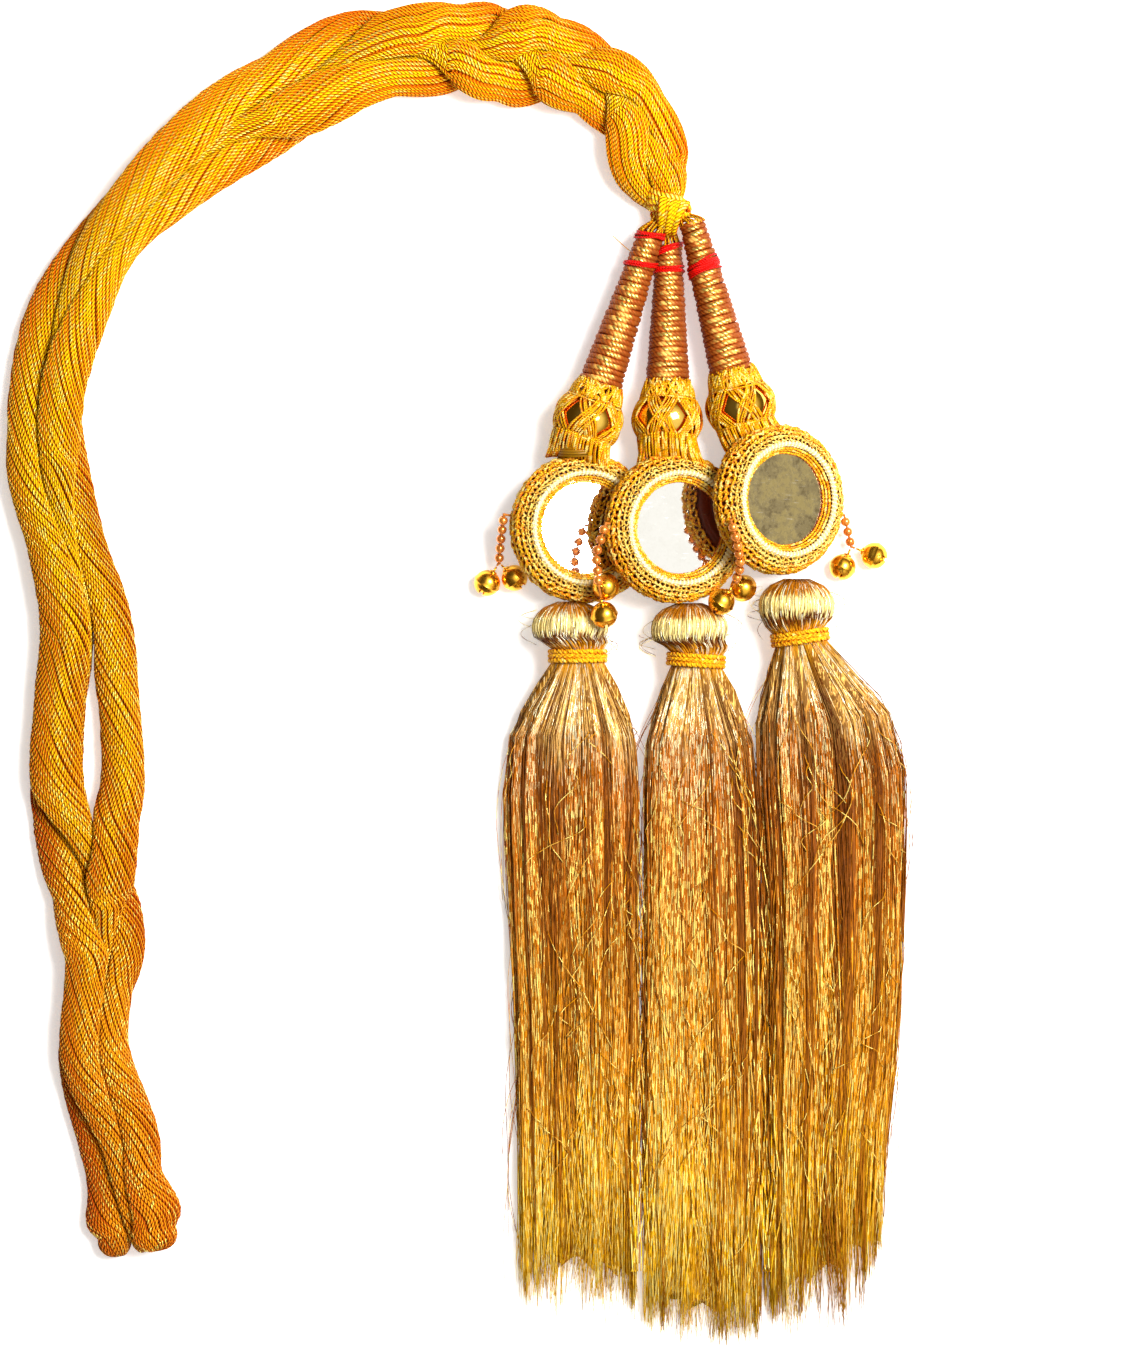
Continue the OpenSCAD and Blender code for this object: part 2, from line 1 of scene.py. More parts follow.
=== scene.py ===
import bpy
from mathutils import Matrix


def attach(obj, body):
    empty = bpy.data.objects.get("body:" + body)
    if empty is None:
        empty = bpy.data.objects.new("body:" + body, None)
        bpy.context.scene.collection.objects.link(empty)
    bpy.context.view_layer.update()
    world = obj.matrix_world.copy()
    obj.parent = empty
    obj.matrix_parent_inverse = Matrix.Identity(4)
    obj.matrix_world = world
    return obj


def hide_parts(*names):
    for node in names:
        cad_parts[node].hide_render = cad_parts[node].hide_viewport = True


bl_info = {
    "name": "Paranda",
    "version": (1, 0, 0),
    "blender": (4, 5, 0),
    "location": "3D View > Sidebar > Paranda",
    "description": "Dresses a paranda in yarn, metal thread, mirrors, beads, bells and tassels",
    "category": "Add Mesh",
}

import math

import bpy
import numpy as np
from mathutils import Matrix, Vector
from mathutils.bvhtree import BVHTree

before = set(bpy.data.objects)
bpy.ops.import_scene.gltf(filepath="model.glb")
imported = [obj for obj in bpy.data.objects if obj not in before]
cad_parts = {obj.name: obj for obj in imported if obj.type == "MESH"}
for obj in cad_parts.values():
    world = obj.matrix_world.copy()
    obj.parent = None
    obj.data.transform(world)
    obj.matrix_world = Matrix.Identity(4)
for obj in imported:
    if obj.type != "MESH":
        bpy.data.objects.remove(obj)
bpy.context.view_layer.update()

MM = 0.001
TAU = 2 * math.pi
UP = np.array([0.0, 0.0, 1.0])
# Middle of the footprint in the coordinates of the tables, in millimetres
FOOTPRINT_CENTRE = np.array([-1.43, 0.85, 0.0])
UV_NAME = "thread"

# Hank from the knot to its far end: x, y, width, height, turn of the plait, parting
X, Y, WIDTH, HEIGHT, TURN, PARTING = range(6)
HANK = np.array([
    [51.6, 118.6, 10.5, 9.5, -530, 0],
    [48.5, 125.5, 19, 11, -500, 0],
    [43.5, 139, 19, 11.5, -450, 0],
    [33, 149, 20, 11.5, -385, 0],
    [14.5, 154.5, 24.5, 11.5, -290, 0],
    [-5.5, 156, 22, 11.5, -187, 0],
    [-25, 154, 23.5, 11.5, -130, 0],
    [-42, 144.5, 24.5, 11.5, -95, 0],
    [-59.5, 134.5, 22, 11.5, -58, 0],
    [-75, 122, 19.5, 11.5, -38, 0],
    [-88.5, 108, 16.5, 11.5, -20, 0],
    [-98, 90.5, 19.5, 11, 0, 0],
    [-103, 71, 19.5, 10.5, 20, 0],
    [-103, 51, 20.5, 10.5, 40, 0],
    [-98.5, 31.5, 18.5, 10.5, 60, 0],
    [-94, 12, 22.5, 10, 76, 0],
    [-94, -7.5, 27.5, 9.5, 88, 7.5],
    [-94, -27.5, 30, 9.5, 92, 9],
    [-93.5, -42, 25, 10, 115, 1.6],
    [-89.5, -67.5, 20, 10.5, 183, 0],
    [-91, -80, 17, 10.5, 200, 0],
    [-92, -97, 19, 10.5, 215, 0],
    [-86, -116, 20, 10.5, 230, 0],
    [-84, -127, 18.5, 11, 238, 0],
    [-81.5, -137, 23, 11.5, 244, 0],
    [-80, -145.5, 9, 7, 250, 0],
])
STRANDS = 3
# Rules of the plait, as in the solids, but with the strands closer together
STRAND_SHARE, YARN_GAP = 0.27, 0.05
MID_SHARE, RISE_SHARE, SINK_SHARE, HALF_HEIGHT_SHARE = 0.47, 0.2, 0.08, 0.39
CROSS_SPREAD, CROSS_THIN = 0.28, 0.25
CORNER_POWER, LEAST_FACING = 8, 0.05

# The three pendants, from the left
SIDES = ["left", "middle", "right"]
STEM_TOPS = np.array([[48, 110.3, 8], [52.3, 107.2, 3.6], [57.9, 112.9, 7.8]])
BEADS = np.array([[32, 63, 9], [51.8, 63.1, 9], [70.2, 66.2, 9]])
MEDALLIONS = np.array([[30.8, 36, 8.2], [53.8, 35.9, 11.4], [79.5, 43, 12.1]])
TURNS = [15, 21, 33]
CAGE_TURNS = [-28, -18, -40]
STEM_TOP_D, STEM_BEAD_D, CORD_D = 6.4, 11.2, 2.0
CAGE_D, CAGE_LENGTH, CAGE_WALL = 18.0, 15.0, 0.75
CAGE_WINDOWS, WINDOW_W, WINDOW_H = 6, 6.4, 9.0
SEAT_GAP, BEAD_CLEARANCE, CORD_REACH = 0.25, 0.15, 0.5

# Red ties: name, stem, distance from the stem's upper end, width, slant
TIES = [
    ("left_end", 0, 1.4, 1.8, 0.9),
    ("left", 0, 9, 1.4, 1.0),
    ("middle_end", 1, 1.4, 1.6, 1.5),
    ("middle", 1, 6.8, 1.6, 0.3),
    ("right", 2, 12, 3.4, 0.7),
]

MEDALLION_D, RIM_THICKNESS, MIRROR_D = 36.0, 8.6, 23.8
ROLL = RIM_THICKNESS / 2
RING_R = MEDALLION_D / 2 - ROLL
POCKET_FLOOR, MEDALLION_BACK = 0.8, -3.0
WOUND_R, WOUND_Z, WOUND_D = MIRROR_D / 2 + 1.9, ROLL + 0.35, 1.7

# Drops: name, path to the fork, small beads on each stretch, the two bells
DROPS = [
    ("left", [[11, 39.3, 11.6], [10.1, 32.1, 8.1], [9.7, 27.4, 5.3]], [3, 2],
        [[6.7, 22.3, 3.45], [13.6, 23.6, 3.45]]),
    ("middle", [[36.4, 36.9, 20.2], [33.9, 29, 20.6], [34.6, 21.4, 21.3]], [3, 3],
        [[36.4, 21.2, 15.9], [36, 14.2, 17]]),
    ("right_inner", [[67.3, 37.4, 25.1], [68.9, 32.2, 23.6], [69.9, 26.3, 19], [68.7, 22.6, 15.2]],
        [2, 3, 2], [[65.2, 17.5, 13.5], [70.75, 21, 8.3]]),
    ("right_outer", [[96.2, 39.3, 4.2], [98, 31.4, 3.8]], [3],
        [[95.8, 26.3, 3.45], [103.8, 29.2, 3.45]]),
]
SEED_D, SEED_BORE_D, THREAD_LEAD = 2.4, 1.1, 0.4
BELL_D, BELL_WALL, BELL_SLIT, SLIT_REACH = 6.8, 0.5, 0.8, 0.4
BELL_HOLE_D, BELL_HOLE_ANGLE = 1.6, 52
LOOP_R, LOOP_WIRE_D, PELLET_R = 0.8, 0.5, 2.1

# Tassels: head centre and length, neck centre and lean
HEADS = np.array([[27.6, 11.3, 8.2], [57.4, 10.9, 8.2], [84.2, 16.6, 8.2]])
HEAD_LENGTHS = [13.2, 13.2, 14]
NECKS = np.array([[29.4, 4, 7.65], [59, 2.9, 7.65], [85, 8.7, 7.65]])
LEANS = [0, -4, 8]
HEAD_W, HEAD_H, NECK_D, NECK_LENGTH = 18.8, 16.2, 12.0, 5.2
HEAD_ANGLES = [72, 48, 24, 0, -28]
# Skirts: y, left edge, right edge, lowest and highest level
ROW_Y, LEFT, RIGHT, LOW, HIGH, TILT = range(6)
SKIRTS = [
    [[0.2, 22.2, 36.8, 0.6, 13.6], [-7, 16, 41.6, 0, 12], [-22, 11.6, 45, 0, 9.5],
        [-52, 12, 45.3, 0, 9], [-90, 13.6, 45.3, 0, 8.5], [-130, 14.4, 45, 0, 8]],
    [[-0.8, 51.8, 67, 0.6, 13.6], [-8, 48.6, 70.6, 0, 12], [-22, 45.8, 73.8, 0, 9.5],
        [-52, 45.7, 75.4, 0, 9], [-90, 45.7, 76, 0, 8.5], [-136, 45.6, 76, 0, 8]],
    [[4.6, 77.8, 92.8, 0.6, 13.6], [-6, 75.2, 104.6, 0, 12], [-22, 74.4, 110.6, 0, 9.5],
        [-52, 76.1, 111, 0, 9], [-90, 76.5, 109.6, 0, 8.5], [-126, 76.5, 106.5, 0, 8]],
]
# Place of each skirt's hem along y at its left, middle and right
HEMS = [[-148, -154, -156], [-157, -165, -160], [-158, -156, -142]]
# Each skirt runs on to this y and height behind its hem, and thins out before it over a length by a share
SKIRT_END, SKIRT_END_HEIGHT = -175, 7.5
HEM_TAPER, HEM_THINNING = 24, 0.45
LOCKS, FURROW_DEPTH, FURROW_START, FURROW_POWER = 14, 0.24, 8, 1.5
TOP_SQUARENESS, BED_SQUARENESS = 0.8, 0.4
TIE_WRAPS, WRAP_D, WRAP_SHARE = 3, 1.3, 0.85


def linear(red, green, blue):
    """Linear colour of a screen colour given from 0 to 255."""
    return tuple((c / 255 / 12.92) if c <= 10 else ((c / 255 + 0.055) / 1.055) ** 2.4
                 for c in (red, green, blue))


# Dark brown of painted shade, and the pale colour of painted glints
PAINTED_SHADE_COLOUR, PALE_GLINT = linear(84, 26, 4), linear(255, 238, 136)


def unit(v):
    """Unit vectors along the last axis."""
    v = np.asarray(v, float)
    return v / np.maximum(np.linalg.norm(v, axis=-1, keepdims=True), 1e-12)


def row_at(table, u):
    """Smooth curve through a table's rows, with a whole number at each row."""
    table = np.asarray(table, float)
    last = len(table) - 1
    i = np.minimum(np.floor(u).astype(int), last - 1)
    t = (u - i)[:, None]
    a, b, c, d = (table[np.clip(i + k, 0, last)] for k in (-1, 0, 1, 2))
    return 0.5 * (2 * b + (c - a) * t + (2 * a - 5 * b + 4 * c - d) * t**2
                  + (3 * b - a - 3 * c + d) * t**3)


def smooth_noise(rng, count, rings, knots):
    """Smooth random curves from -1 to 1, one for each of count threads."""
    table = rng.uniform(-1, 1, (knots + 1, count))
    return row_at(table, np.linspace(0, knots, rings)).T


def aim_matrix(start, end):
    """Matrix that puts the z axis on the line from one point to another."""
    d = np.subtract(end, start)
    polar = math.acos(d[2] / np.linalg.norm(d))
    return (Matrix.Translation(Vector(start)) @ Matrix.Rotation(math.atan2(d[1], d[0]), 4, "Z")
            @ Matrix.Rotation(polar, 4, "Y"))


def moved(matrix, points):
    m = np.array(matrix)
    return points @ m[:3, :3].T + m[:3, 3]


def turned(matrix, directions):
    return directions @ np.array(matrix)[:3, :3].T


def round_angles(count):
    return TAU * np.arange(count) / count


def circle(angle, radius=1.0):
    """Points at angles round the z axis."""
    return np.stack([radius * np.cos(angle), radius * np.sin(angle), 0 * angle], axis=-1)


def arc_outline(radius, angle):
    """Outline of a ball for the lathe, at angles from its equator."""
    return np.stack([radius * np.cos(angle), radius * np.sin(angle)], axis=1)


def curved(start, bend, end, t):
    """Points of a curve that leaves start towards bend and comes from there to end."""
    return start * (1 - t) ** 2 + bend * 2 * t * (1 - t) + end * t ** 2


def keep_above(points, level):
    """Raises the points that lie below a level."""
    points[..., 2] = np.maximum(points[..., 2], level)


class Shape:
    """Points and faces of one piece in millimetres, gathered before it becomes a mesh."""

    def __init__(self):
        self.points, self.tones, self.alongs = [], [], []
        self.faces, self.uvs = [], []
        self.count = 0

    def grids(self, grid, loop=False, tone=0.5, along=0.0):
        """Adds closed surfaces over grids of tube, ring, side and xyz. A loop joins its ends."""
        grid = np.asarray(grid, float)
        tubes, rings, sides, _ = grid.shape
        index = np.arange(tubes * rings * sides).reshape(tubes, rings, sides)
        steps = np.linalg.norm(np.diff(grid.mean(2), axis=1), axis=-1)
        length = np.concatenate([np.zeros((tubes, 1)), np.cumsum(steps, axis=1)], axis=1)
        here = index if loop else index[:, :-1]
        there = np.roll(index, -1, axis=1) if loop else index[:, 1:]
        low = length if loop else length[:, :-1]
        high = low + (np.concatenate([steps, steps[:, :1]], axis=1) if loop else steps)
        quads = np.stack([here, there, np.roll(there, -1, axis=2), np.roll(here, -1, axis=2)], axis=-1)
        around = np.broadcast_to(np.arange(sides) / sides, here.shape)
        low, high = (np.broadcast_to(v[:, :, None], here.shape) for v in (low, high))
        far = around + 1 / sides
        uv = np.stack([np.stack([around, around, far, far], -1), np.stack([low, high, high, low], -1)], -1)
        blocks = [(quads.reshape(-1, 4), uv.reshape(-1, 4, 2))]
        if not loop:
            ends = np.concatenate([index[:, 0], index[:, -1, ::-1]])
            end_v = np.concatenate([length[:, 0], length[:, -1]])
            end_uv = np.stack(np.broadcast_arrays(0.5, end_v[:, None] + np.zeros((1, sides))), -1)
            blocks.append((ends, end_uv))
        flat = grid.reshape(-1, 3)
        centre = flat.mean(0)
        a, b, c, d = (flat[blocks[0][0][:, k]] - centre for k in range(4))
        volume = np.sum(a * np.cross(b, c)) + np.sum(a * np.cross(c, d))
        for faces, face_uv in blocks:
            if volume < 0:
                faces, face_uv = faces[:, ::-1], face_uv[:, ::-1]
            self.faces.append(faces + self.count)
            self.uvs.append(face_uv)
        self.points.append(flat)
        for kept, value in ((self.tones, tone), (self.alongs, along)):
            value = np.asarray(value, float)
            value = value.reshape(value.shape + (1,) * (3 - value.ndim))
            kept.append(np.broadcast_to(value, (tubes, rings, sides)).reshape(-1))
        self.count += len(flat)

    def tubes(self, paths, normals, radii, sides, loop=False, roll=0.0, tone=0.5, along=0.0):
        """Adds round threads along paths of tube, ring and xyz, their seams away from normals."""
        paths = np.asarray(paths, float)
        if loop:
            tangent = unit(np.roll(paths, -1, axis=1) - np.roll(paths, 1, axis=1))
        else:
            tangent = unit(np.gradient(paths, axis=1))
        side = unit(np.cross(tangent, np.broadcast_to(normals, paths.shape)))
        up = np.cross(side, tangent)
        radii = np.broadcast_to(radii, paths.shape[:2])[..., None, None]
        roll = np.broadcast_to(roll, paths.shape[:2])[..., None]
        angle = round_angles(sides) - math.pi / 2 + roll
        ring = np.cos(angle)[..., None] * side[:, :, None] + np.sin(angle)[..., None] * up[:, :, None]
        self.grids(paths[:, :, None] + ring * radii, loop, tone, along)

    def thread(self, matrix, path, out, radius, sides, **look):
        """Adds one thread, its path and outward side given before a matrix moves them."""
        self.tubes(moved(matrix, path)[None], turned(matrix, out)[None], radius, sides, **look)

    def lathe(self, outline, segments, matrix, loop=False, tone=0.5, along=0.0):
        """Adds a turned surface from an outline of radius and height."""
        outline = np.asarray(outline, float)
        angle = round_angles(segments)
        r, z = outline[:, :1], outline[:, 1:]
        grid = np.stack([r * np.cos(angle), r * np.sin(angle), z + 0 * angle], -1)
        self.grids(moved(matrix, grid)[None], loop, tone, along)

    def build(self, name):
        """Makes the mesh object in metres, in the frame of the solids."""
        points = (np.concatenate(self.points) - FOOTPRINT_CENTRE) * MM
        corners = np.concatenate([f.reshape(-1) for f in self.faces]).astype(np.int32)
        sizes = np.concatenate([np.full(len(f), f.shape[1]) for f in self.faces]).astype(np.int32)
        starts = np.concatenate([[0], np.cumsum(sizes)[:-1]]).astype(np.int32)
        mesh = bpy.data.meshes.new(name)
        mesh.vertices.add(len(points))
        mesh.vertices.foreach_set("co", points.astype(np.float32).reshape(-1))
        mesh.loops.add(len(corners))
        mesh.loops.foreach_set("vertex_index", corners)
        mesh.polygons.add(len(sizes))
        mesh.polygons.foreach_set("loop_start", starts)
        mesh.polygons.foreach_set("loop_total", sizes)
        mesh.update(calc_edges=True)
        mesh.polygons.foreach_set("use_smooth", np.ones(len(sizes), bool))
        layer = mesh.uv_layers.new(name=UV_NAME)
        uv = np.concatenate([u.reshape(-1, 2) for u in self.uvs]).astype(np.float32)
        layer.data.foreach_set("uv", uv.reshape(-1))
        for label, kept in (("tone", self.tones), ("along", self.alongs)):
            attribute = mesh.attributes.new(label, "FLOAT", "POINT")
            attribute.data.foreach_set("value", np.concatenate(kept).astype(np.float32))
        mesh.validate()
        piece = bpy.data.objects.new(name, mesh)
        bpy.context.scene.collection.objects.link(piece)
        return piece


class Wire:
    """One output of a shader node, used as a number in a Python expression."""

    def __init__(self, finish, socket):
        self.finish = finish
        self.socket = socket

    def __add__(self, other):
        return self.finish.math("ADD", self, other)

    __radd__ = __add__

    def __sub__(self, other):
        return self.finish.math("SUBTRACT", self, other)

    def __rsub__(self, other):
        return self.finish.math("SUBTRACT", other, self)

    def __mul__(self, other):
        return self.finish.math("MULTIPLY", self, other)

    __rmul__ = __mul__

    def __truediv__(self, other):
        return self.finish.math("DIVIDE", self, other)

    def __pow__(self, other):
        return self.finish.math("POWER", self, other)

    def __gt__(self, other):
        return self.finish.math("GREATER_THAN", self, other)

    def __abs__(self):
        return self.finish.math("ABSOLUTE", self)

    def floor(self):
        return self.finish.math("FLOOR", self)

    def wave(self):
        """Absolute sine that has one bulge for each whole step."""
        return abs(self.finish.math("SINE", self * math.pi))

    def step(self, low, high):
        """0 below low, 1 above high and smooth between."""
        return self.finish.node("ShaderNodeMapRange", {"interpolation_type": "SMOOTHSTEP"},
                                {"Value": self, "From Min": low, "From Max": high}, "Result")


class Finish:
    """Builds one procedural material."""

    def __init__(self, name, tree=None):
        self.material = None if tree else bpy.data.materials.new(name)
        if self.material:
            self.material.use_nodes = True
        self.tree = tree or self.material.node_tree
        self.tree.nodes.clear()

    def node(self, kind, settings=None, values=None, output=0):
        """Adds a node, sets its settings, fills its sockets and returns one output."""
        made = self.tree.nodes.new(kind)
        for key, value in (settings or {}).items():
            if key == "stops":
                self.set_stops(made.color_ramp, value)
            else:
                setattr(made, key, value)
        for key, value in (values or {}).items():
            socket = made.inputs[key]
            if isinstance(value, Wire):
                self.tree.links.new(value.socket, socket)
            elif socket.type == "RGBA" and len(value) == 3:
                socket.default_value = (*value, 1)
            else:
                socket.default_value = value
        return Wire(self, made.outputs[output]) if made.outputs else made

    @staticmethod
    def set_stops(ramp, stops):
        while len(ramp.elements) < len(stops):
            ramp.elements.new(0.5)
        for element, (place, colour) in zip(ramp.elements, stops):
            element.position = place
            element.color = (*colour, 1)

    def math(self, operation, *values):
        return self.node("ShaderNodeMath", {"operation": operation}, dict(enumerate(values)))

    def part(self, vector, axis):
        """One number of a vector."""
        return self.node("ShaderNodeSeparateXYZ", None, {0: vector}, axis)

    def thread(self):
        """Place round a thread from 0 to 1, and place along it in millimetres."""
        uv = self.node("ShaderNodeUVMap", {"uv_map": UV_NAME})
        return self.part(uv, 0), self.part(uv, 1)

    def attribute(self, name):
        return self.node("ShaderNodeAttribute", {"attribute_name": name}, None, "Fac")

    def position(self):
        return self.node("ShaderNodeTexCoord", None, None, "Object")

    def vector(self, x, y=0.0, z=0.0):
        return self.node("ShaderNodeCombineXYZ", None, {0: x, 1: y, 2: z})

    def noise(self, vector, scale, detail=2.0, roughness=0.5):
        return self.node("ShaderNodeTexNoise", None,
                         {"Vector": vector, "Scale": scale, "Detail": detail, "Roughness": roughness})

    def mapped(self, vector, scale, turn=0.0):
        """A place stretched along its axes and turned about z."""
        return self.node("ShaderNodeMapping", None, {0: vector, "Rotation": (0, 0, turn), "Scale": scale})

    def chance(self, x, y):
        """Random number from 0 to 1 for each pair of whole numbers."""
        return self.node("ShaderNodeTexWhiteNoise", None, {"Vector": self.vector(x, y)})

    def blend(self, factor, a, b):
        return self.node("ShaderNodeMix", {"data_type": "RGBA"}, {0: factor, 6: a, 7: b}, 2)

    def ramp(self, factor, stops):
        return self.node("ShaderNodeValToRGB", {"stops": stops}, {0: factor})

    def bump(self, height, distance):
        """Normal of a relief whose full height is a distance in millimetres."""
        return self.node("ShaderNodeBump", None, {"Distance": distance * MM, "Height": height})

    def surface(self, values):
        """Ends the material with a principled shader."""
        shader = self.node("ShaderNodeBsdfPrincipled", None, values)
        self.node("ShaderNodeOutputMaterial", None, {"Surface": shader})
        return self.material


def paint(piece, material):
    piece.data.materials.clear()
    piece.data.materials.append(material)


def dress(piece, nodes, material):
    """Gives a piece its material, its body and the solids that it stands for."""
    paint(piece, material)
    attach(piece, "root")
    if nodes:
        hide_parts(*nodes)


# Plies of a yarn, and the length along it from one ply to the next
PLIES, PLY_STEP = 3, 1.05


def yarn_material(stops, painted_groove_shade, fleck, fleck_share):
    """Plied yarn: painted shade between its plies, beside its neighbours and low down, metal flecks on some
    plies.
    """
    f = Finish("hank_yarn")
    around, along_mm = f.thread()
    tone, along = f.attribute("tone"), f.attribute("along")
    turn = around * PLIES + along_mm / PLY_STEP
    bulge = turn.wave()
    flank_shade = abs(around - 0.5).step(0.05, 0.17)
    # Painted shade: darker where the yarn lies less than 8 mm above the floor
    painted_low_shade = 1 - f.part(f.position(), 2).step(0.003, 0.008)
    patches = f.noise(f.vector(along_mm * 0.07, tone * 50), 1.0)
    lucky = f.chance(turn.floor(), tone * 971) > 1 - patches.step(0.3, 0.72) * fleck_share
    glint = lucky * bulge.step(0.45, 0.8) * (1 - flank_shade)
    drift = f.noise(f.vector(along_mm * 0.15, tone * 31), 1.0)
    body = f.ramp(along + (drift - 0.5) * 0.25 + (tone - 0.5) * 0.12, stops)
    # Colour of the painted groove shade, deeper towards the far end
    painted_groove_shade = f.blend(along.step(0.3, 0.6), painted_groove_shade, linear(166, 56, 0))
    # Painted shade between the plies, at the yarn's sides and low down
    body = f.blend((1 - bulge) ** 1.3 * 0.65 + flank_shade * 0.7 + painted_low_shade * 0.25, body, painted_groove_shade)
    colour = f.blend(glint, body, fleck)
    fibres = f.noise(f.vector(around * 9, along_mm * 2, tone * 10), 1.0, 3.0)
    return f.surface({
        "Base Color": colour,
        "Roughness": 0.66 - glint * 0.38,
        "Metallic": glint * 0.5,
        "Specular IOR Level": 0.1,
        "Normal": f.bump(bulge + fibres * 0.35, 0.45),
    })


def metal_thread_material(name, light, deep, shine, roughness, lines=2, spacing=0.5, bump=0.15):
    """Silk wrapped in fine metal strip: light and deep patches that glint, painted shade between turns, at
    its sides and where its along attribute asks.
    """
    f = Finish(name)
    around, along_mm = f.thread()
    tone, painted_shade = f.attribute("tone"), f.attribute("along")
    turn = around * lines + along_mm / spacing
    bulge = turn.wave()
    mix = f.chance(turn.floor(), tone * 877)
    patch = f.noise(f.vector(along_mm * 0.7, around * 2, tone * 60), 1.0, 2.0)
    flank_shade = abs(around - 0.5).step(0.07, 0.17)
    lit = (patch.step(0.35, 0.65) * 0.3 + mix * 0.35 + 0.35) * (1 - painted_shade) ** 2
    colour = f.blend(lit, deep, light)
    # Painted shade between the turns and at the thread's sides
    colour = f.blend((1 - bulge) ** 2 * 0.6 + flank_shade * 0.6, colour, deep)
    return f.surface({
        # Painted shade towards dark brown, as much as the along attribute gives
        "Base Color": f.blend(painted_shade, colour, PAINTED_SHADE_COLOUR),
        "Roughness": roughness + mix * 0.15 + painted_shade * 0.45,
        "Specular IOR Level": 0.15,
        "Metallic": mix.step(0.1, 0.4) * (1 - painted_shade) * shine,
        "Normal": f.bump(bulge * 0.8 + mix * 0.5, bump),
    })


def silk_material(name, light, deep, roughness=0.45, shine=0.0, glints=0.2):
    """Silk or cotton thread with soft plies and pale glints, painted shade between plies, at its sides and
    where its along attribute asks.
    """
    f = Finish(name)
    around, along_mm = f.thread()
    tone, painted_shade = f.attribute("tone"), f.attribute("along")
    bulge = (around * 2 + along_mm / 0.7).wave()
    patch = f.noise(f.vector(along_mm * 0.9, tone * 60, around), 1.0, 3.0)
    flank_shade = abs(around - 0.5).step(0.1, 0.3)
    # Random patches, with painted shade between the plies and at the thread's sides
    colour = f.blend(patch.step(0.38, 0.66) * 0.55 + (1 - bulge) * 0.3 + flank_shade * 0.7, light, deep)
    glint = (f.chance((along_mm / 1.3 + tone * 17).floor(), tone * 733) > 1 - glints) * (1 - flank_shade)
    colour = f.blend(glint * 0.8, colour, PALE_GLINT)
    # Painted shade towards dark brown, as much as the along attribute gives
    values = {
        "Base Color": f.blend(painted_shade, colour, PAINTED_SHADE_COLOUR),
        "Roughness": roughness + patch * 0.15,
        "Specular IOR Level": 0.2,
        "Normal": f.bump(bulge + patch * 0.5, 0.15),
    }
    if shine:
        values["Metallic"] = (1 - patch.step(0.4, 0.6)) * (1 - painted_shade) * shine
    return f.surface(values)


def polished_material(name, light, deep, roughness, wear):
    """Polished metal with fine scratches and dull patches."""
    f = Finish(name)
    place = f.position()
    dull = f.noise(place, 420.0, 4.0)
    scratches = f.noise(f.mapped(place, (1, 14, 5)), 500.0, 2.0)
    worn = dull.step(0.5, 0.8) * wear
    return f.surface({
        "Base Color": f.blend(worn, light, deep),
        "Roughness": roughness + worn * 0.35 + scratches * 0.05,
        "Metallic": 1.0,
        "Normal": f.bump(dull * 0.4 + scratches * 0.3, 0.03),
    })


def tint(name, description, *screen):
    """A colour to choose, its default given as a screen colour from 0 to 255."""
    return bpy.props.FloatVectorProperty(name=name, description=description, subtype="COLOR",
                                         default=linear(*screen))


def amount(name, description, default, **more):
    """A number to choose."""
    return bpy.props.FloatProperty(name=name, description=description, default=default, **more)


def tally(name, description, default, least, most):
    """A whole number to choose."""
    return bpy.props.IntProperty(name=name, description=description, default=default, min=least, max=most)


class HankSettings(bpy.types.PropertyGroup):
    yarns: tally("Yarns", "Yarns on the outside of one strand", 27, 12, 40)
    ring_step: amount("Ring step", "Distance between rings along a yarn, in millimetres", 1.6)
    twist_length: amount("Twist length", "Length in which the yarns go once round, in millimetres", 54.0)
    straight_length: amount(
        "Straight length", "Length beside the knot where yarns run straight, in millimetres", 95.0)
    near_colour: tint("Near the knot", "Yarn colour on the arch beside the knot", 255, 214, 0)
    middle_colour: tint("Middle", "Yarn colour on the long side", 255, 200, 4)
    far_colour: tint("Far end", "Yarn colour at the far end", 250, 156, 14)
    # Colour of the painted shade between the plies and beside the yarns
    painted_groove_shade_colour: tint("Grooves", "Colour between the plies", 234, 96, 0)
    fleck_colour: tint("Flecks", "Colour of the metal flecks", 255, 240, 110)
    fleck_share: amount("Fleck share", "Share of the plies that carry a fleck", 0.6, subtype="FACTOR")


class StemSettings(bpy.types.PropertyGroup):
    pitch: amount("Pitch", "Distance from one turn of the winding to the next, in millimetres", 1.35)
    ring_step: amount("Ring step", "Distance between rings along the winding, in millimetres", 0.8)
    light_colour: tint("Light thread", "Light colour of the winding", 255, 238, 128)
    deep_colour: tint("Deep thread", "Deep colour of the winding", 206, 84, 0)
    tie_colour: tint("Red ties", "Colour of the red thread", 236, 8, 0)


class BeadSettings(bpy.types.PropertyGroup):
    threads: tally("Threads", "Threads in one band of a cage", 7, 3, 9)
    gold_colour: tint("Gold", "Colour of the polished bead", 255, 208, 92)
    cage_colour: tint("Cage thread", "Colour of the cage's thread", 252, 198, 6)
    cage_deep_colour: tint("Deep cage thread", "Deep colour of the cage's thread", 196, 72, 0)


class MedallionSettings(bpy.types.PropertyGroup):
    stitches: tally("Stitches", "Chain stitches in one row of the rim", 72, 30, 100)
    rim_colour: tint("Rim", "Colour of the crochet rim", 255, 200, 34)
    rim_deep_colour: tint("Deep rim", "Deep colour of the crochet rim", 206, 84, 0)
    zari_colour: tint("Wound ring", "Colour of the wound metal thread", 255, 250, 222)


class DropSettings(bpy.types.PropertyGroup):
    bead_colour: tint("Small beads", "Colour of the small beads", 250, 164, 70)
    bell_colour: tint("Bells", "Colour of the bells' metal", 255, 192, 62)


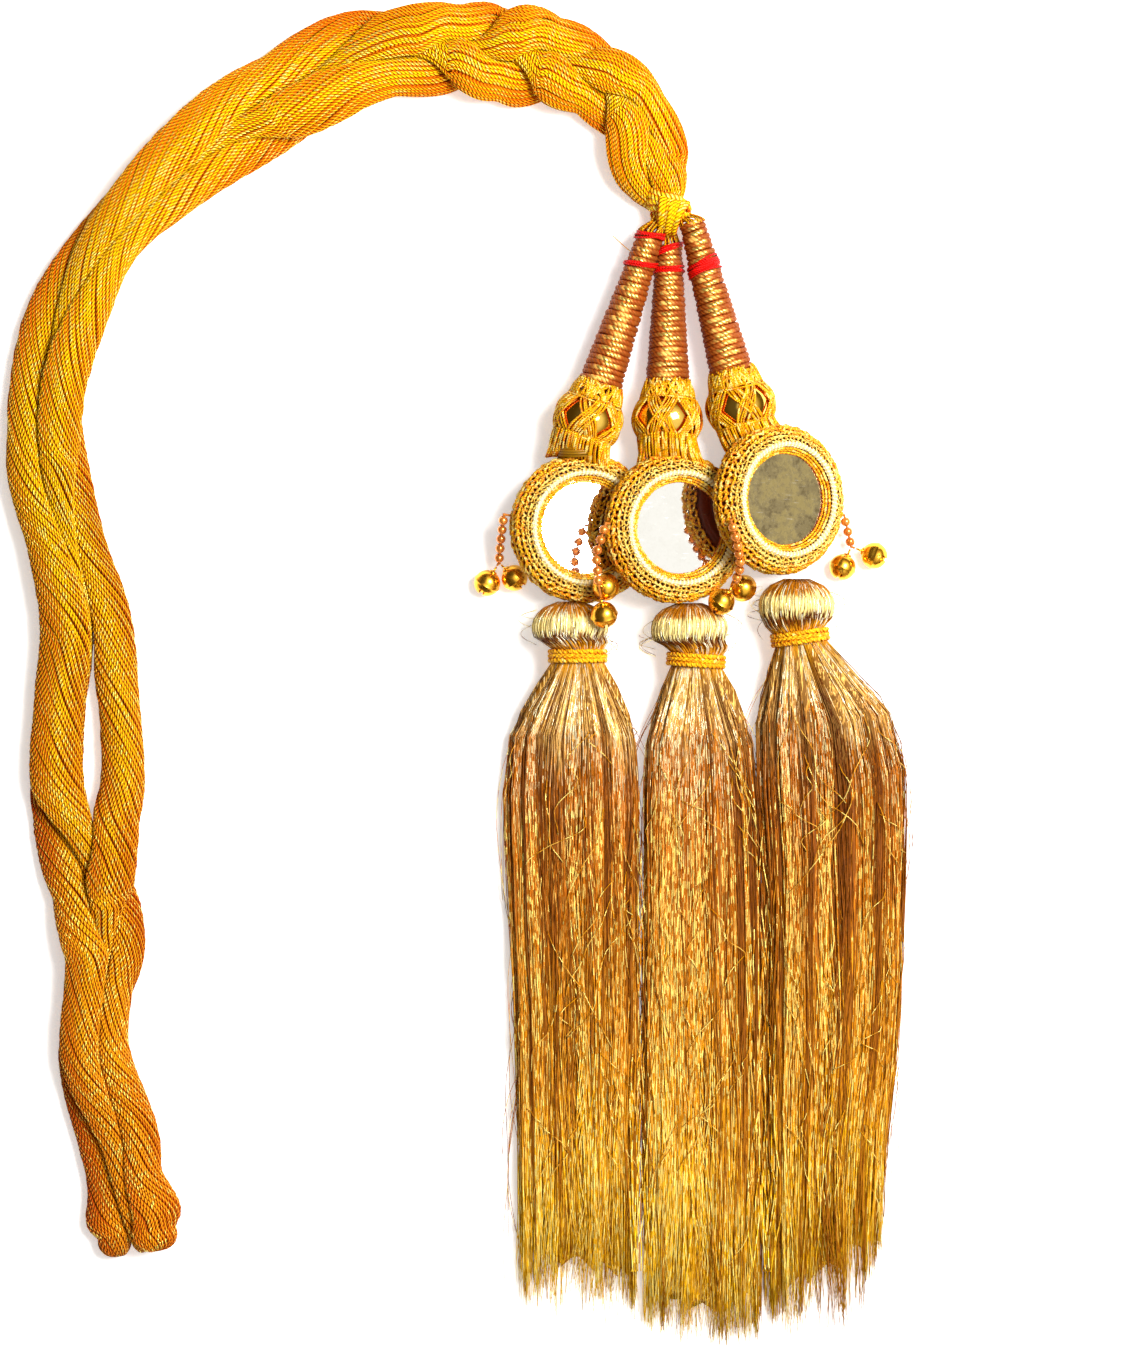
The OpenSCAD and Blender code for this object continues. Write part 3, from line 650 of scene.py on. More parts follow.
class TasselSettings(bpy.types.PropertyGroup):
    threads: tally("Threads", "Loose threads in one skirt", 1180, 200, 1600)
    strays: tally("Stray threads", "Filaments that stand off one skirt", 56, 0, 120)
    thread_d: amount("Thread diameter", "Diameter of a loose thread, in millimetres", 0.32)
    # Colour near the neck, partly a painted highlight
    neck_tint_and_highlight: tint("Near the neck", "Thread colour near the neck", 240, 190, 98)
    middle_colour: tint("Middle", "Thread colour half way down", 192, 106, 6)
    hem_colour: tint("Hem", "Thread colour at the hem", 255, 200, 14)
    tie_colour: tint("Neck tie", "Colour of the yarn round the neck", 255, 196, 20)


class StageSettings(bpy.types.PropertyGroup):
    key_power: amount("Key light", "Power of the soft key light, in watts", 28.0)
    sky_strength: amount("Sky", "Strength of the light from all round", 1.0)
    floor_glow: amount("Floor glow", "Light that the white table gives off, which softens shadows", 0.42)
    camera_height: amount("Camera height", "Height of the camera above the floor", 1.608,
                          unit="LENGTH", subtype="DISTANCE")


def strand_room(rows, k):
    """Side offset, height, half width and half thickness of strand k."""
    phi = np.radians(rows[:, TURN] + 360 * k / STRANDS)
    crossing = np.abs(np.sin(2 * phi))
    packed = rows[:, WIDTH] - rows[:, PARTING]
    half = STRAND_SHARE * packed
    side = (packed / 2 - half) * np.sin(phi) + rows[:, PARTING] * (0.5 if k == 0 else -0.5)
    level = MID_SHARE - RISE_SHARE * np.sin(2 * phi) - SINK_SHARE * (1 - crossing)
    return np.stack([side, level * rows[:, HEIGHT], half * (1 + CROSS_SPREAD * crossing),
                     HALF_HEIGHT_SHARE * rows[:, HEIGHT] * (1 - CROSS_THIN * crossing)], axis=1)


def strand_reach(rows, k, angles):
    """Distance from the middle of strand k to its surface, for each row and angle."""
    own = strand_room(rows, k)
    u = np.stack([np.cos(angles), np.sin(angles)])
    total = np.hypot(u[0] / own[:, 2:3], u[1] / own[:, 3:4]) ** CORNER_POWER
    for step in (1, 2):
        d = (strand_room(rows, (k + step) % STRANDS) - own)[:, :2]
        size = np.linalg.norm(d, axis=1, keepdims=True)
        facing = d @ u / size
        near = (np.maximum(facing, 0) / (size / 2 - YARN_GAP / 2)) ** CORNER_POWER
        total += np.where(facing < LEAST_FACING, 0, near)
    sink = np.maximum(-u[1], 0) / own[:, 1:2]
    total += np.where(u[1] < -LEAST_FACING, sink ** CORNER_POWER, 0)
    return total ** (-1 / CORNER_POWER)


# Each strand closes in a dome of this length at the hank's far end, this wide and high
END_LENGTH, END_WIDTH, END_HEIGHT = 6.5, 23, 11.5
# It widens to the dome over this length, and the dome's tip keeps this share of its size
END_FLARE, TIP_SHARE = 12, 0.12
# The yarns run on to this point in the knot in these steps, and are drawn in by this share
GATHER_POINT, GATHER_STEPS, GATHER_SHARE = np.array([52.4, 115.0, 5.8]), (1, 0.7, 0.35), 0.5
# A yarn's radius: share of its room on the strand, least and greatest
YARN_SHARE, YARN_LEAST_R, YARN_MOST_R = 0.54, 0.42, 0.74
# How far a yarn strays along the section, in yarns, and off it, and where the twist has set in
YARN_SWAY, YARN_LIFT, TWIST_EASE = 0.3, 0.12, 40
SECTION_SIDES, YARN_SIDES, CORE_STEP, CORE_DEPTH = 96, 5, 8, 0.85


def rounded_rows(step):
    """Rows of the hank a step apart, closer together at its far end, their lengths and the dome's size."""
    dense = np.linspace(0, len(HANK) - 1, 40 * len(HANK))
    route = row_at(HANK, dense)[:, :2]
    travelled = np.concatenate([[0], np.cumsum(np.linalg.norm(np.diff(route, axis=0), axis=1))])
    total = travelled[-1]
    curl = np.sin(np.linspace(0, math.pi / 2, 11)[1:])
    length = np.concatenate([np.arange(0, total - END_LENGTH, step), total - END_LENGTH * (1 - curl)])
    rows = row_at(HANK, np.interp(length, travelled, dense))
    past = np.clip(1 - (total - length) / END_LENGTH, 0, 1)
    wide = np.clip((length - total + END_FLARE) / END_FLARE, 0, 1)
    flared = np.maximum(rows[:, WIDTH], END_WIDTH * wide ** 0.3)
    rows[:, WIDTH] = np.where(wide > 0, flared, rows[:, WIDTH])
    rows[:, HEIGHT] = np.where(past > 0, END_HEIGHT, rows[:, HEIGHT])
    return rows, length, TIP_SHARE + (1 - TIP_SHARE) * np.sqrt(1 - past ** 2)


def strand_yarns(settings, k, rng):
    """The yarns of strand k, laid side by side round its section, and the core inside."""
    shape = Shape()
    rows, length, dome = rounded_rows(settings.ring_step)
    tangent = unit(np.gradient(rows[:, :2], axis=0))
    inner = np.stack([-tangent[:, 1], tangent[:, 0], 0 * length], axis=1)
    own = strand_room(rows, k)
    middle = np.stack([rows[:, X], rows[:, Y], 0 * length], axis=1) + inner * own[:, :1] + UP * own[:, 1:2]
    angles = np.linspace(0, TAU, SECTION_SIDES + 1)
    reach = strand_reach(rows, k, angles) * dome[:, None]
    count = settings.yarns
    past = np.maximum(length - settings.straight_length, 0)
    twist = -(past ** 2 / (past + TWIST_EASE)) / settings.twist_length
    sway = smooth_noise(rng, count, len(rows), 24) * YARN_SWAY
    lift = smooth_noise(rng, count, len(rows), 40) * YARN_LIFT
    paths = np.empty((count, len(rows), 3))
    normals = np.empty_like(paths)
    radii = np.empty((count, len(rows)))
    for i in range(len(rows)):
        section = arc_outline(reach[i], angles)
        steps = np.linalg.norm(np.diff(section, axis=0), axis=1)
        around = np.concatenate([[0], np.cumsum(steps)])
        radii[:, i] = np.clip(around[-1] / count * YARN_SHARE, YARN_LEAST_R * dome[i], YARN_MOST_R)
        spots = ((np.arange(count) + sway[:, i]) / count + twist[i]) % 1 * around[-1]
        angle = np.interp(spots, around, angles)
        r = np.interp(spots, around, reach[i]) - radii[:, i] + lift[:, i]
        normals[:, i] = inner[i] * np.cos(angle)[:, None] + UP * np.sin(angle)[:, None]
        paths[:, i] = middle[i] + normals[:, i] * r[:, None]
    keep_above(paths, radii * 0.95)
    share = length / length[-1]
    start = np.array([rows[0, X], rows[0, Y], rows[0, HEIGHT] / 2])
    drawn_in = np.stack([start + (GATHER_POINT - start) * s + (paths[:, 0] - start) * (1 - GATHER_SHARE * s)
                         for s in GATHER_STEPS], axis=1)
    paths = np.concatenate([drawn_in, paths], axis=1)
    normals, radii = (np.concatenate([v[:, :3], v], axis=1) for v in (normals, radii))
    shape.tubes(paths, normals, radii, YARN_SIDES, tone=rng.uniform(0.05, 1, count),
                along=np.concatenate([[0, 0, 0], share])[None])
    spokes = angles[:-1:CORE_STEP]
    core_r = np.maximum(reach[:, :-1:CORE_STEP] - CORE_DEPTH, 0.5 * dome[:, None])
    ring = inner[:, None] * np.cos(spokes)[:, None] + UP * np.sin(spokes)[:, None]
    core = middle[:, None] + ring * core_r[..., None]
    # The core takes the painted groove shade over most of it and shows as shade between the yarns
    shape.grids(core[None, ::3], tone=0.0, along=share[None, ::3])
    return shape


class PARANDA_OT_hank(bpy.types.Operator):
    """Make the plaited hank of yarn and the knot at its end"""
    bl_idname = "paranda.hank"
    bl_label = "Hank"

    def execute(self, context):
        settings = context.scene.paranda_hank
        rng = np.random.default_rng(11)
        near, middle, far = settings.near_colour[:], settings.middle_colour[:], settings.far_colour[:]
        stops = [(0.0, near), (0.34, near), (0.6, middle), (0.95, far)]
        yarn = yarn_material(stops, settings.painted_groove_shade_colour[:], settings.fleck_colour[:],
                             settings.fleck_share)
        for k in range(STRANDS):
            shape = strand_yarns(settings, k, rng)
            piece = shape.build(f"yarn_strand_{k + 1}")
            dress(piece, [f"hank_strand_{k + 1}"], yarn)
        dress(knot_shape(rng).build("knot_yarn"), ["knot"], yarn)
        return {"FINISHED"}


KNOT_TOP, KNOT_FOOT = np.array([53.4, 118.2, 5.2]), np.array([51.3, 109.2, 6.6])
KNOT_YARNS, KNOT_RINGS, KNOT_TWIST = 17, 22, 1.1
# The knot's yarns lie this deep in its solid, at least this far from its axis, and here where a ray misses
KNOT_YARN_DEPTH, KNOT_LEAST_REACH, KNOT_MISSED_REACH = 0.5, 0.3, 0.6
# Turns round the knot: y, half width, half height, fall to the right
KNOT_TURNS = [(118.8, 4.5, 3.9, 1.8), (117.5, 4.9, 4.2, 1.4), (116.1, 4.9, 4.2, 1.9),
              (114.8, 4.4, 3.9, 1.5)]
TURN_MIDDLE, TURN_STEPS, TURN_YARN_R = (52.3, 5.6), 30, 0.92
# Loops over the turns: start, bend and end of the first, how far off the last lies, and their stray
KNOT_LOOPS, LOOP_YARN_R = 8, 0.8
FIRST_LOOP = np.array([[50.5, 119.4, 8.2], [50.4, 115.8, 14.4], [50.0, 110.4, 7.4]])
LAST_LOOP_OFF = np.array([[6.2, -2.2, 0], [4.6, -1.2, 0], [3.4, -1.0, 0]])
LOOP_STRAY = (0.3, 0.5, 0.3)
# Loose threads over each stem's upper end: how many, radius, and where they leave the knot
TUFT_THREADS, TUFT_R, TUFT_START = 16, 0.3, np.array([52.2, 114.2, 5.8])


def knot_shape(rng):
    """Yarns that run over the knot's solid from the hank to the tongue between the stems."""
    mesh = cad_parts["knot"].data
    tree = BVHTree.FromPolygons([v.co for v in mesh.vertices], [p.vertices for p in mesh.polygons])
    axis = unit(KNOT_FOOT - KNOT_TOP)
    side = unit(np.cross(axis, UP))
    up = np.cross(side, axis)
    share = np.linspace(0, 1, KNOT_RINGS)
    paths = np.empty((KNOT_YARNS, KNOT_RINGS, 3))
    normals = np.empty_like(paths)
    for j in range(KNOT_YARNS):
        for i, t in enumerate(share):
            angle = TAU * j / KNOT_YARNS + KNOT_TWIST * t
            direction = side * math.cos(angle) + up * math.sin(angle)
            centre = KNOT_TOP + (KNOT_FOOT - KNOT_TOP) * t
            start = Vector((centre - FOOTPRINT_CENTRE) * MM)
            hit = tree.ray_cast(start, Vector(direction))
            reach = hit[3] / MM if hit[0] else KNOT_MISSED_REACH
            paths[j, i] = centre + direction * max(reach - KNOT_YARN_DEPTH, KNOT_LEAST_REACH)
            normals[j, i] = direction
    shape = Shape()
    radii = np.interp(share, [0, 0.6, 1], [0.62, 0.6, 0.42])
    shape.tubes(paths, normals, radii, 6, tone=rng.uniform(0.05, 1, KNOT_YARNS))
    middle = paths.mean(0)
    core = middle[:, None] + (paths.transpose(1, 0, 2) - middle[:, None]) * 0.85
    # The core takes the painted groove shade over most of it and shows as shade between the yarns
    shape.grids(core[None], tone=0.0)
    knot_turns(shape, rng)
    stem_tufts(shape, rng)
    return shape


def knot_turns(shape, rng):
    """Turns of yarn round the knot, and loops that cross them and run down to the tongue."""
    theta = round_angles(TURN_STEPS)
    x, z = TURN_MIDDLE
    for level, width, rise, fall in KNOT_TURNS:
        out = np.stack([np.cos(theta), 0 * theta, np.sin(theta)], axis=1)
        path = np.array([x, level, z]) + out * [width, 0, rise]
        ripple = np.sin(TAU * (np.arange(TURN_STEPS) / 10 + rng.uniform()))
        path[:, 1] += 0.35 * ripple - fall * np.cos(theta)
        shape.tubes(path[None], out[None], TURN_YARN_R, 8, loop=True, tone=rng.uniform(0.2, 1))
    t = np.linspace(0, 1, 12)[:, None]
    for k in range(KNOT_LOOPS):
        share = k / (KNOT_LOOPS - 1)
        start, bend, end = (first + off * share + rng.uniform(-stray, stray, 3)
                            for first, off, stray in zip(FIRST_LOOP, LAST_LOOP_OFF, LOOP_STRAY))
        path = curved(start, bend, end, t)
        shape.tubes(path[None], UP, LOOP_YARN_R, 7, tone=rng.uniform(0.1, 1))


def stem_tufts(shape, rng):
    """Loose threads from the knot that spread over the stems' upper ends."""
    t = np.linspace(0, 1, 9)[:, None]
    for i in range(len(SIDES)):
        matrix = aim_matrix(STEM_TOPS[i], BEADS[i])
        stray = rng.uniform(-0.3, 0.3, TUFT_THREADS)
        for angle in TAU * (np.arange(TUFT_THREADS) + stray) / TUFT_THREADS:
            start = TUFT_START + rng.uniform(-1.6, 1.6, 3)
            reach = rng.uniform(0.6, 1.5)
            radial = np.array([math.cos(angle), math.sin(angle), 0])
            bend, end = moved(matrix, np.array([radial * 2.4 - UP * 1.1, radial * 3.25 + UP * reach]))
            path = curved(start, bend, end, t)
            shape.tubes(path[None], turned(matrix, radial), TUFT_R, 4, tone=rng.uniform(0.1, 1))


def stem_length(i):
    return np.linalg.norm(BEADS[i] - STEM_TOPS[i]) - CAGE_LENGTH / 2 - SEAT_GAP


def stem_radius(i, z):
    share = np.clip(z / stem_length(i), 0, 1)
    return STEM_TOP_D / 2 + (STEM_BEAD_D - STEM_TOP_D) / 2 * share


def rim_target(i, start):
    """Point just off a medallion's rim, on the way from a point to the middle of the rim's roll."""
    turn = math.radians(TURNS[i])
    sideways = np.array([math.cos(turn), 0, -math.sin(turn)])
    v = start - MEDALLIONS[i]
    flat = np.array([v @ sideways, v[1]])
    flat *= RING_R / np.linalg.norm(flat)
    on_ring = MEDALLIONS[i] + flat[0] * sideways + np.array([0, flat[1], 0])
    return on_ring + unit(start - on_ring) * (ROLL + SEAT_GAP)


def cord_points(start, end, count):
    return start + (end - start) * np.linspace(0, 1, count)[:, None]


WINDING_R = 0.78
# A winding's sides take this much painted shade towards dark brown
SIDE_PAINTED_SHADE = 0.58
# Painted highlight band down its middle that takes none: half width as a sine, soft edge, shift at each
# turn
LIT_BAND_HALF, LIT_BAND_EDGE, LIT_BAND_ZIGZAG = 0.52, 0.2, 0.14
# A loose end of metal thread that stands off the left stem
STRAY_WIRE = [[44.5, 104.2, 9.5], [42.6, 105.2, 8.6], [40.6, 106.9, 7.2], [38.2, 109.2, 6.8]]
# Red thread of the ties: its radius, and the width that one turn takes
TIE_R, TIE_PITCH = 0.31, 0.42


def winding_shape(settings, i, rng):
    """A thick metal thread wound round the stem, its core, and the cord that carries the bead."""
    shape = Shape()
    matrix = aim_matrix(STEM_TOPS[i], BEADS[i])
    length = stem_length(i)
    turns = round(length / settings.pitch)
    mean = (STEM_TOP_D + STEM_BEAD_D) / 2 * math.pi
    rings = int(turns * mean / settings.ring_step)
    t = np.linspace(0, 1, rings)
    z = 0.75 + (length - 1.4) * t
    angle = TAU * turns * t + i
    wobble = smooth_noise(rng, 1, rings, turns * 6)[0]
    r = stem_radius(i, z) - WINDING_R * 0.9 + wobble * 0.1
    radial = circle(angle)
    path = radial * r[:, None] + UP * (z + wobble * 0.2)[:, None]
    swell = 1 + 0.12 * smooth_noise(rng, 1, rings, turns * 7)[0]
    zigzag = LIT_BAND_ZIGZAG * np.where(np.floor(angle / TAU) % 2 > 0, 1, -1)
    across = np.abs(np.sin(angle) + zigzag + 0.12 * wobble)
    lit_band = np.clip((LIT_BAND_HALF - across) / LIT_BAND_EDGE, 0, 1) * (np.cos(angle) < 0)
    # Painted highlight down the top of the winding, painted shade at its sides
    shape.thread(matrix, path, radial, WINDING_R * swell, 8, tone=0.4,
                 along=(SIDE_PAINTED_SHADE * (1 - lit_band))[None])
    upper_r, lower_r = stem_radius(i, 0), stem_radius(i, length)
    outline = [[0.05, 0.1], [upper_r - 1.2, 0.25], [upper_r - 0.8, 0.9],
               [lower_r - 0.8, length - 0.6], [lower_r - 1.4, length - 0.1], [0.05, length]]
    # The core is painted fully dark, as shade in the gaps between the turns
    shape.lathe(outline, 24, matrix, tone=0.9, along=1.0)
    axis = unit(BEADS[i] - STEM_TOPS[i])
    bead_end = length + CAGE_LENGTH + 2 * SEAT_GAP + CORD_REACH
    leaving = STEM_TOPS[i] + axis * bead_end
    foot = rim_target(i, leaving)
    cord = np.concatenate([cord_points(STEM_TOPS[i] + axis * (length - 1), leaving, 12),
                           cord_points(leaving, foot, 5)[1:]])
    shape.tubes(cord[None], UP, CORD_D / 2, 10, tone=0.6)
    if i == 0:
        wire = row_at(STRAY_WIRE, np.linspace(0, len(STRAY_WIRE) - 1, 14))
        shape.tubes(wire[None], UP, 0.13, 4, tone=0.4)
    return shape


def tie_shape(tie, rng):
    """Turns of red thread round a stem, each with a slant of its own."""
    _, i, place, width, slant = tie
    matrix = aim_matrix(STEM_TOPS[i], BEADS[i])
    wraps = max(3, round(width / TIE_PITCH))
    theta = round_angles(28)
    radial = circle(theta)
    shape = Shape()
    for n in range(wraps):
        z = place + (n / (wraps - 1) - 0.5) * (width - 2 * TIE_R)
        tilt = slant + rng.uniform(-0.4, 0.4)
        z = z - tilt * np.sin(theta) + 0.2 * np.sin(2 * theta + rng.uniform(0, TAU))
        r = stem_radius(i, z) + 0.05 + rng.uniform(0, 0.32)
        path = radial * r[:, None] + UP * z[:, None]
        shape.thread(matrix, path, radial, TIE_R, 6, loop=True, tone=rng.uniform())
    return shape


class PARANDA_OT_stems(bpy.types.Operator):
    """Make the three wound stems and their red ties"""
    bl_idname = "paranda.stems"
    bl_label = "Wound stems"

    def execute(self, context):
        settings = context.scene.paranda_stems
        rng = np.random.default_rng(23)
        gold = metal_thread_material("stem_winding", settings.light_colour[:], settings.deep_colour[:],
                                     0.85, 0.2, 3, 1.1, 0.16)
        red = silk_material("red_thread", settings.tie_colour[:], linear(160, 4, 0), 0.4, glints=0.0)
        for i, side in enumerate(SIDES):
            piece = winding_shape(settings, i, rng).build(f"winding_{side}")
            dress(piece, [f"stem_{side}"], gold)
        for tie in TIES:
            piece = tie_shape(tie, rng).build(f"red_wraps_{tie[0]}")
            dress(piece, [f"red_tie_{tie[0]}"], red)
        return {"FINISHED"}


def oblate(angle, inset):
    """Radius and height on the cage's oblate surface, at an angle from the equator."""
    ball = CAGE_LENGTH / 2 - inset
    flat = (CAGE_D - CAGE_LENGTH) / 2
    return flat + ball * np.cos(angle), ball * np.sin(angle)


def ball_shape(i):
    """Polished ball on the cord inside the cage."""
    inset = CAGE_WALL + BEAD_CLEARANCE
    bore = CORD_D / 2 + BEAD_CLEARANCE
    angle = np.linspace(-math.pi / 2, math.pi / 2, 41)
    r, z = oblate(angle, inset)
    outline = np.stack([np.maximum(r, bore), z], axis=1)
    outline = np.concatenate([[[bore, z[0]]], outline, [[bore, z[-1]]]])
    shape = Shape()
    shape.lathe(outline, 80, aim_matrix(BEADS[i], 2 * BEADS[i] - STEM_TOPS[i]), loop=True)
    return shape


# Radii of the threads of a cage's bands, of the rings round its ends, and above and below it
BAND_THREAD_R, COLLAR_THREAD_R, SEAT_THREAD_R = 0.26, 0.28, 0.32
# The bands run between these angles from the cage's equator, in radians
BAND_REACH = 1.42
# Shares of the solid's windows and of the room beside them that windows and bands take
WINDOW_SHARE, BAND_SHARE = 0.88, 0.9
# A band's threads stray sideways, in radians, and sink, and those at its edges are thicker by a factor
BAND_WANDER, BAND_SINK, EDGE_THICKNESS = 0.055, 0.34, 1.3
# Places of the rings of thread round a cage's ends, in degrees from its equator
COLLARS = (42, 47, 52, 58, 64, 70, 76)
SEAT_THREADS = 34


def cage_shape(settings, i, rng):
    """Bands of thread that cross between the cage's windows and close over its ends."""
    shape = Shape()
    matrix = aim_matrix(BEADS[i], 2 * BEADS[i] - STEM_TOPS[i])
    matrix = matrix @ Matrix.Rotation(math.radians(180 + CAGE_TURNS[i]), 4, "Z")
    per_window = TAU / CAGE_WINDOWS
    window = WINDOW_W / CAGE_D * WINDOW_SHARE
    band = (per_window / 2 - window) * BAND_SHARE
    angle = np.linspace(-BAND_REACH, BAND_REACH, 21)
    paths, normals, radii, tones = [], [], [], []
    for hand in (-1, 1):
        for k in range(CAGE_WINDOWS):
            for n in range(settings.threads):
                off = band * (2 * n / (settings.threads - 1) - 1)
                sink = BAND_SINK * rng.uniform() * (n % 2 or hand > 0)
                r, z = oblate(angle, BAND_THREAD_R + sink)
                wander = BAND_WANDER * smooth_noise(rng, 1, len(angle), 6)[0]
                turn = per_window * (k + 0.5) + off - hand * window * z / (WINDOW_H / 2) + wander
                radial = circle(turn)
                paths.append(radial * r[:, None] + UP * z[:, None])
                normals.append(radial * np.cos(angle)[:, None] + UP * np.sin(angle)[:, None])
                edge = n in (0, settings.threads - 1)
                radii.append(np.full(len(angle), BAND_THREAD_R * (EDGE_THICKNESS if edge else 1.0)))
                tones.append(rng.uniform())
    shape.tubes(moved(matrix, np.array(paths)), turned(matrix, np.array(normals)), np.array(radii), 4,
                tone=np.array(tones))
    theta = round_angles(28)
    for polar in COLLARS:
        for level in (-polar, polar):
            lean = rng.uniform(-0.12, 0.12) * np.cos(theta + rng.uniform(0, TAU))
            r, z = oblate(math.radians(level) + lean, rng.uniform(0, 0.2))
            ring = circle(theta, r) + UP * z[:, None]
            shape.thread(matrix, ring, ring, COLLAR_THREAD_R, 4, loop=True, tone=rng.uniform())
    seat_threads(shape, i, rng)
    return shape


def seat_threads(shape, i, rng):
    """Threads that tie the cage to the stem above it and to the medallion's rim below it."""
    axis = unit(BEADS[i] - STEM_TOPS[i])
    side = unit(np.cross(axis, UP))
    up = np.cross(side, axis)
    leaving = BEADS[i] + axis * (CAGE_LENGTH / 2 + SEAT_GAP)
    foot = rim_target(i, leaving)
    inward = unit(foot - leaving)
    stem_end = BEADS[i] - axis * (CAGE_LENGTH / 2 + SEAT_GAP)
    t = np.linspace(0, 1, 6)[:, None]
    packed = [[0.05, -2.4], [5.6, -2.2], [5.7, -0.4], [5.5, np.linalg.norm(foot - leaving)], [0.05, 1.2]]
    # A packed filler under the threads, painted three quarters dark as shade between them
    shape.lathe(packed, 28, aim_matrix(leaving, foot), tone=0.9, along=0.75)
    places = np.concatenate([rng.uniform(0, TAU, SEAT_THREADS), rng.uniform(0.1, 3.04, 2 * SEAT_THREADS)])
    for angle in places:
        radial = side * math.cos(angle) + up * math.sin(angle)
        reach = math.cos(angle) * rng.uniform(6.0, 9.5)
        below = (BEADS[i] + axis * 4.2 + radial * rng.uniform(6.6, 7.5),
                 leaving + radial * rng.uniform(6.2, 8.0),
                 foot + inward * (1.3 + reach ** 2 / 36) + side * reach + up * math.sin(angle) * 2.4)
        crossed = angle + rng.uniform(-0.7, 0.7)
        far = side * math.cos(crossed) + up * math.sin(crossed)
        above = (BEADS[i] - axis * 5.0 + radial * 6.8,
                 stem_end + unit(radial + far) * rng.uniform(6.0, 6.7),
                 stem_end - axis * rng.uniform(0.6, 2.2) + far * (STEM_BEAD_D / 2 - 0.05))
        for start, bend, end in (below, above):
            path = curved(start, bend, end, t)
            shape.tubes(path[None], radial, SEAT_THREAD_R, 4, tone=rng.uniform())


class PARANDA_OT_beads(bpy.types.Operator):
    """Make the three gold beads and the thread cages round them"""
    bl_idname = "paranda.beads"
    bl_label = "Caged beads"

    def execute(self, context):
        settings = context.scene.paranda_beads
        rng = np.random.default_rng(31)
        gold = polished_material("bead_gold", settings.gold_colour[:], linear(190, 120, 30), 0.06, 0.25)
        silk = silk_material("cage_thread", settings.cage_colour[:], settings.cage_deep_colour[:],
                             0.26, 0.35)
        for i, side in enumerate(SIDES):
            dress(ball_shape(i).build(f"polished_bead_{side}"), [f"gold_bead_{side}"], gold)
            piece = cage_shape(settings, i, rng).build(f"thread_cage_{side}")
            dress(piece, [f"bead_cage_{side}"], silk)
        return {"FINISHED"}


# The stitches stand this far off the padding, and their threads run no lower than this
RIM_SWELL, LEAST_RIM_LEVEL = 0.35, 0.55
# One leg of a stitch at four places along it: share of its length, share of its half width, height
STITCH_AT = np.array([0, 0.3, 0.68, 1])
STITCH_SPREAD = np.array([0.18, 0.95, 0.85, 0.12])
STITCH_HEIGHT = np.array([-0.5, 0.05, 0.15, -0.2])
# A stitch is this many steps of its row long, and so reaches over the next
STITCH_LENGTH = 1.35
# Rows of the rim: angle round its roll, share of the stitches, then width, thread radius, lean and painted
# shade, most on the outer rows
RIM_ROWS = [
    (-46, 0.9, 1.7, 0.36, 0.25, 0.3),
    (-23, 0.97, 1.75, 0.38, -0.3, 0.2),
    (0, 1.0, 1.8, 0.4, 0.35, 0.1),
    (22, 0.97, 1.7, 0.38, -0.35, 0.0),
    (41, 0.94, 1.5, 0.36, 0.3, 0.0),
]
ZARI_ROWS = [(57, 1.15, 1.2, 0.27, 0.2, 0.0), (73, 1.1, 1.05, 0.26, -0.2, 0.0)]
# Rings of thread inside them, down to the mirror's edge: radius, height, thread radius
EDGE_RINGS = [(MIRROR_D / 2 - 0.3, 2.95, 0.34), (MIRROR_D / 2 + 0.3, 3.35, 0.38),
              (MIRROR_D / 2 + 0.85, 3.9, 0.4)]
EDGE_STEPS, EDGE_NOTCHES, NOTCH_DEPTH = 264, 66, 0.12
# The padding lies this far inside the rim's solid
PADDING_INSET = 0.55
# Metal thread round the wound ring: turns, steps of one turn, radius, and radius of the core inside
WOUND_TURNS, WOUND_STEPS, WOUND_THREAD_R, WOUND_CORE_R = 84, 9, 0.46, 0.6


def ring_side(theta, phi):
    """Outward direction at an angle round a ring and an angle round its thickness."""
    return np.stack([np.cos(phi) * np.cos(theta), np.cos(phi) * np.sin(theta), np.sin(phi)], axis=-1)


def rim_point(theta, phi, height):
    """Point and outward direction on a medallion's rolled rim."""
    out = ring_side(theta, phi)
    return circle(theta, RING_R) + out * (ROLL + height)[..., None], out


def chain_row(shape, matrix, phi, count, look, rng):
    """A row of leaf-shaped chain stitches round the rim at one place of its roll."""
    width, thread_r, lean, shade = look
    start = np.arange(count)[:, None]
    theta = TAU * (start + STITCH_AT * STITCH_LENGTH + rng.uniform(-0.28, 0.28, (count, 1))) / count
    size = rng.uniform(0.78, 1.25, (count, 1))
    shift = lean * (STITCH_AT - 0.5) * rng.uniform(0.2, 2, (count, 1)) + rng.uniform(-0.2, 0.2, (count, 1))
    for leg in (-1, 1):
        across = leg * width * size / 2 * STITCH_SPREAD + shift
        height = RIM_SWELL + STITCH_HEIGHT + rng.uniform(-0.25, 0.2, (count, 1))
        points, out = rim_point(theta, math.radians(phi) + across / ROLL, height)
        points = moved(matrix, points)
        keep_above(points, LEAST_RIM_LEVEL)
        shape.tubes(points, turned(matrix, out), thread_r * size, 4,
                    tone=rng.uniform(0, 1, count), along=shade)


def medallion_matrix(i):
    return Matrix.Translation(Vector(MEDALLIONS[i])) @ Matrix.Rotation(math.radians(TURNS[i]), 4, "Y")


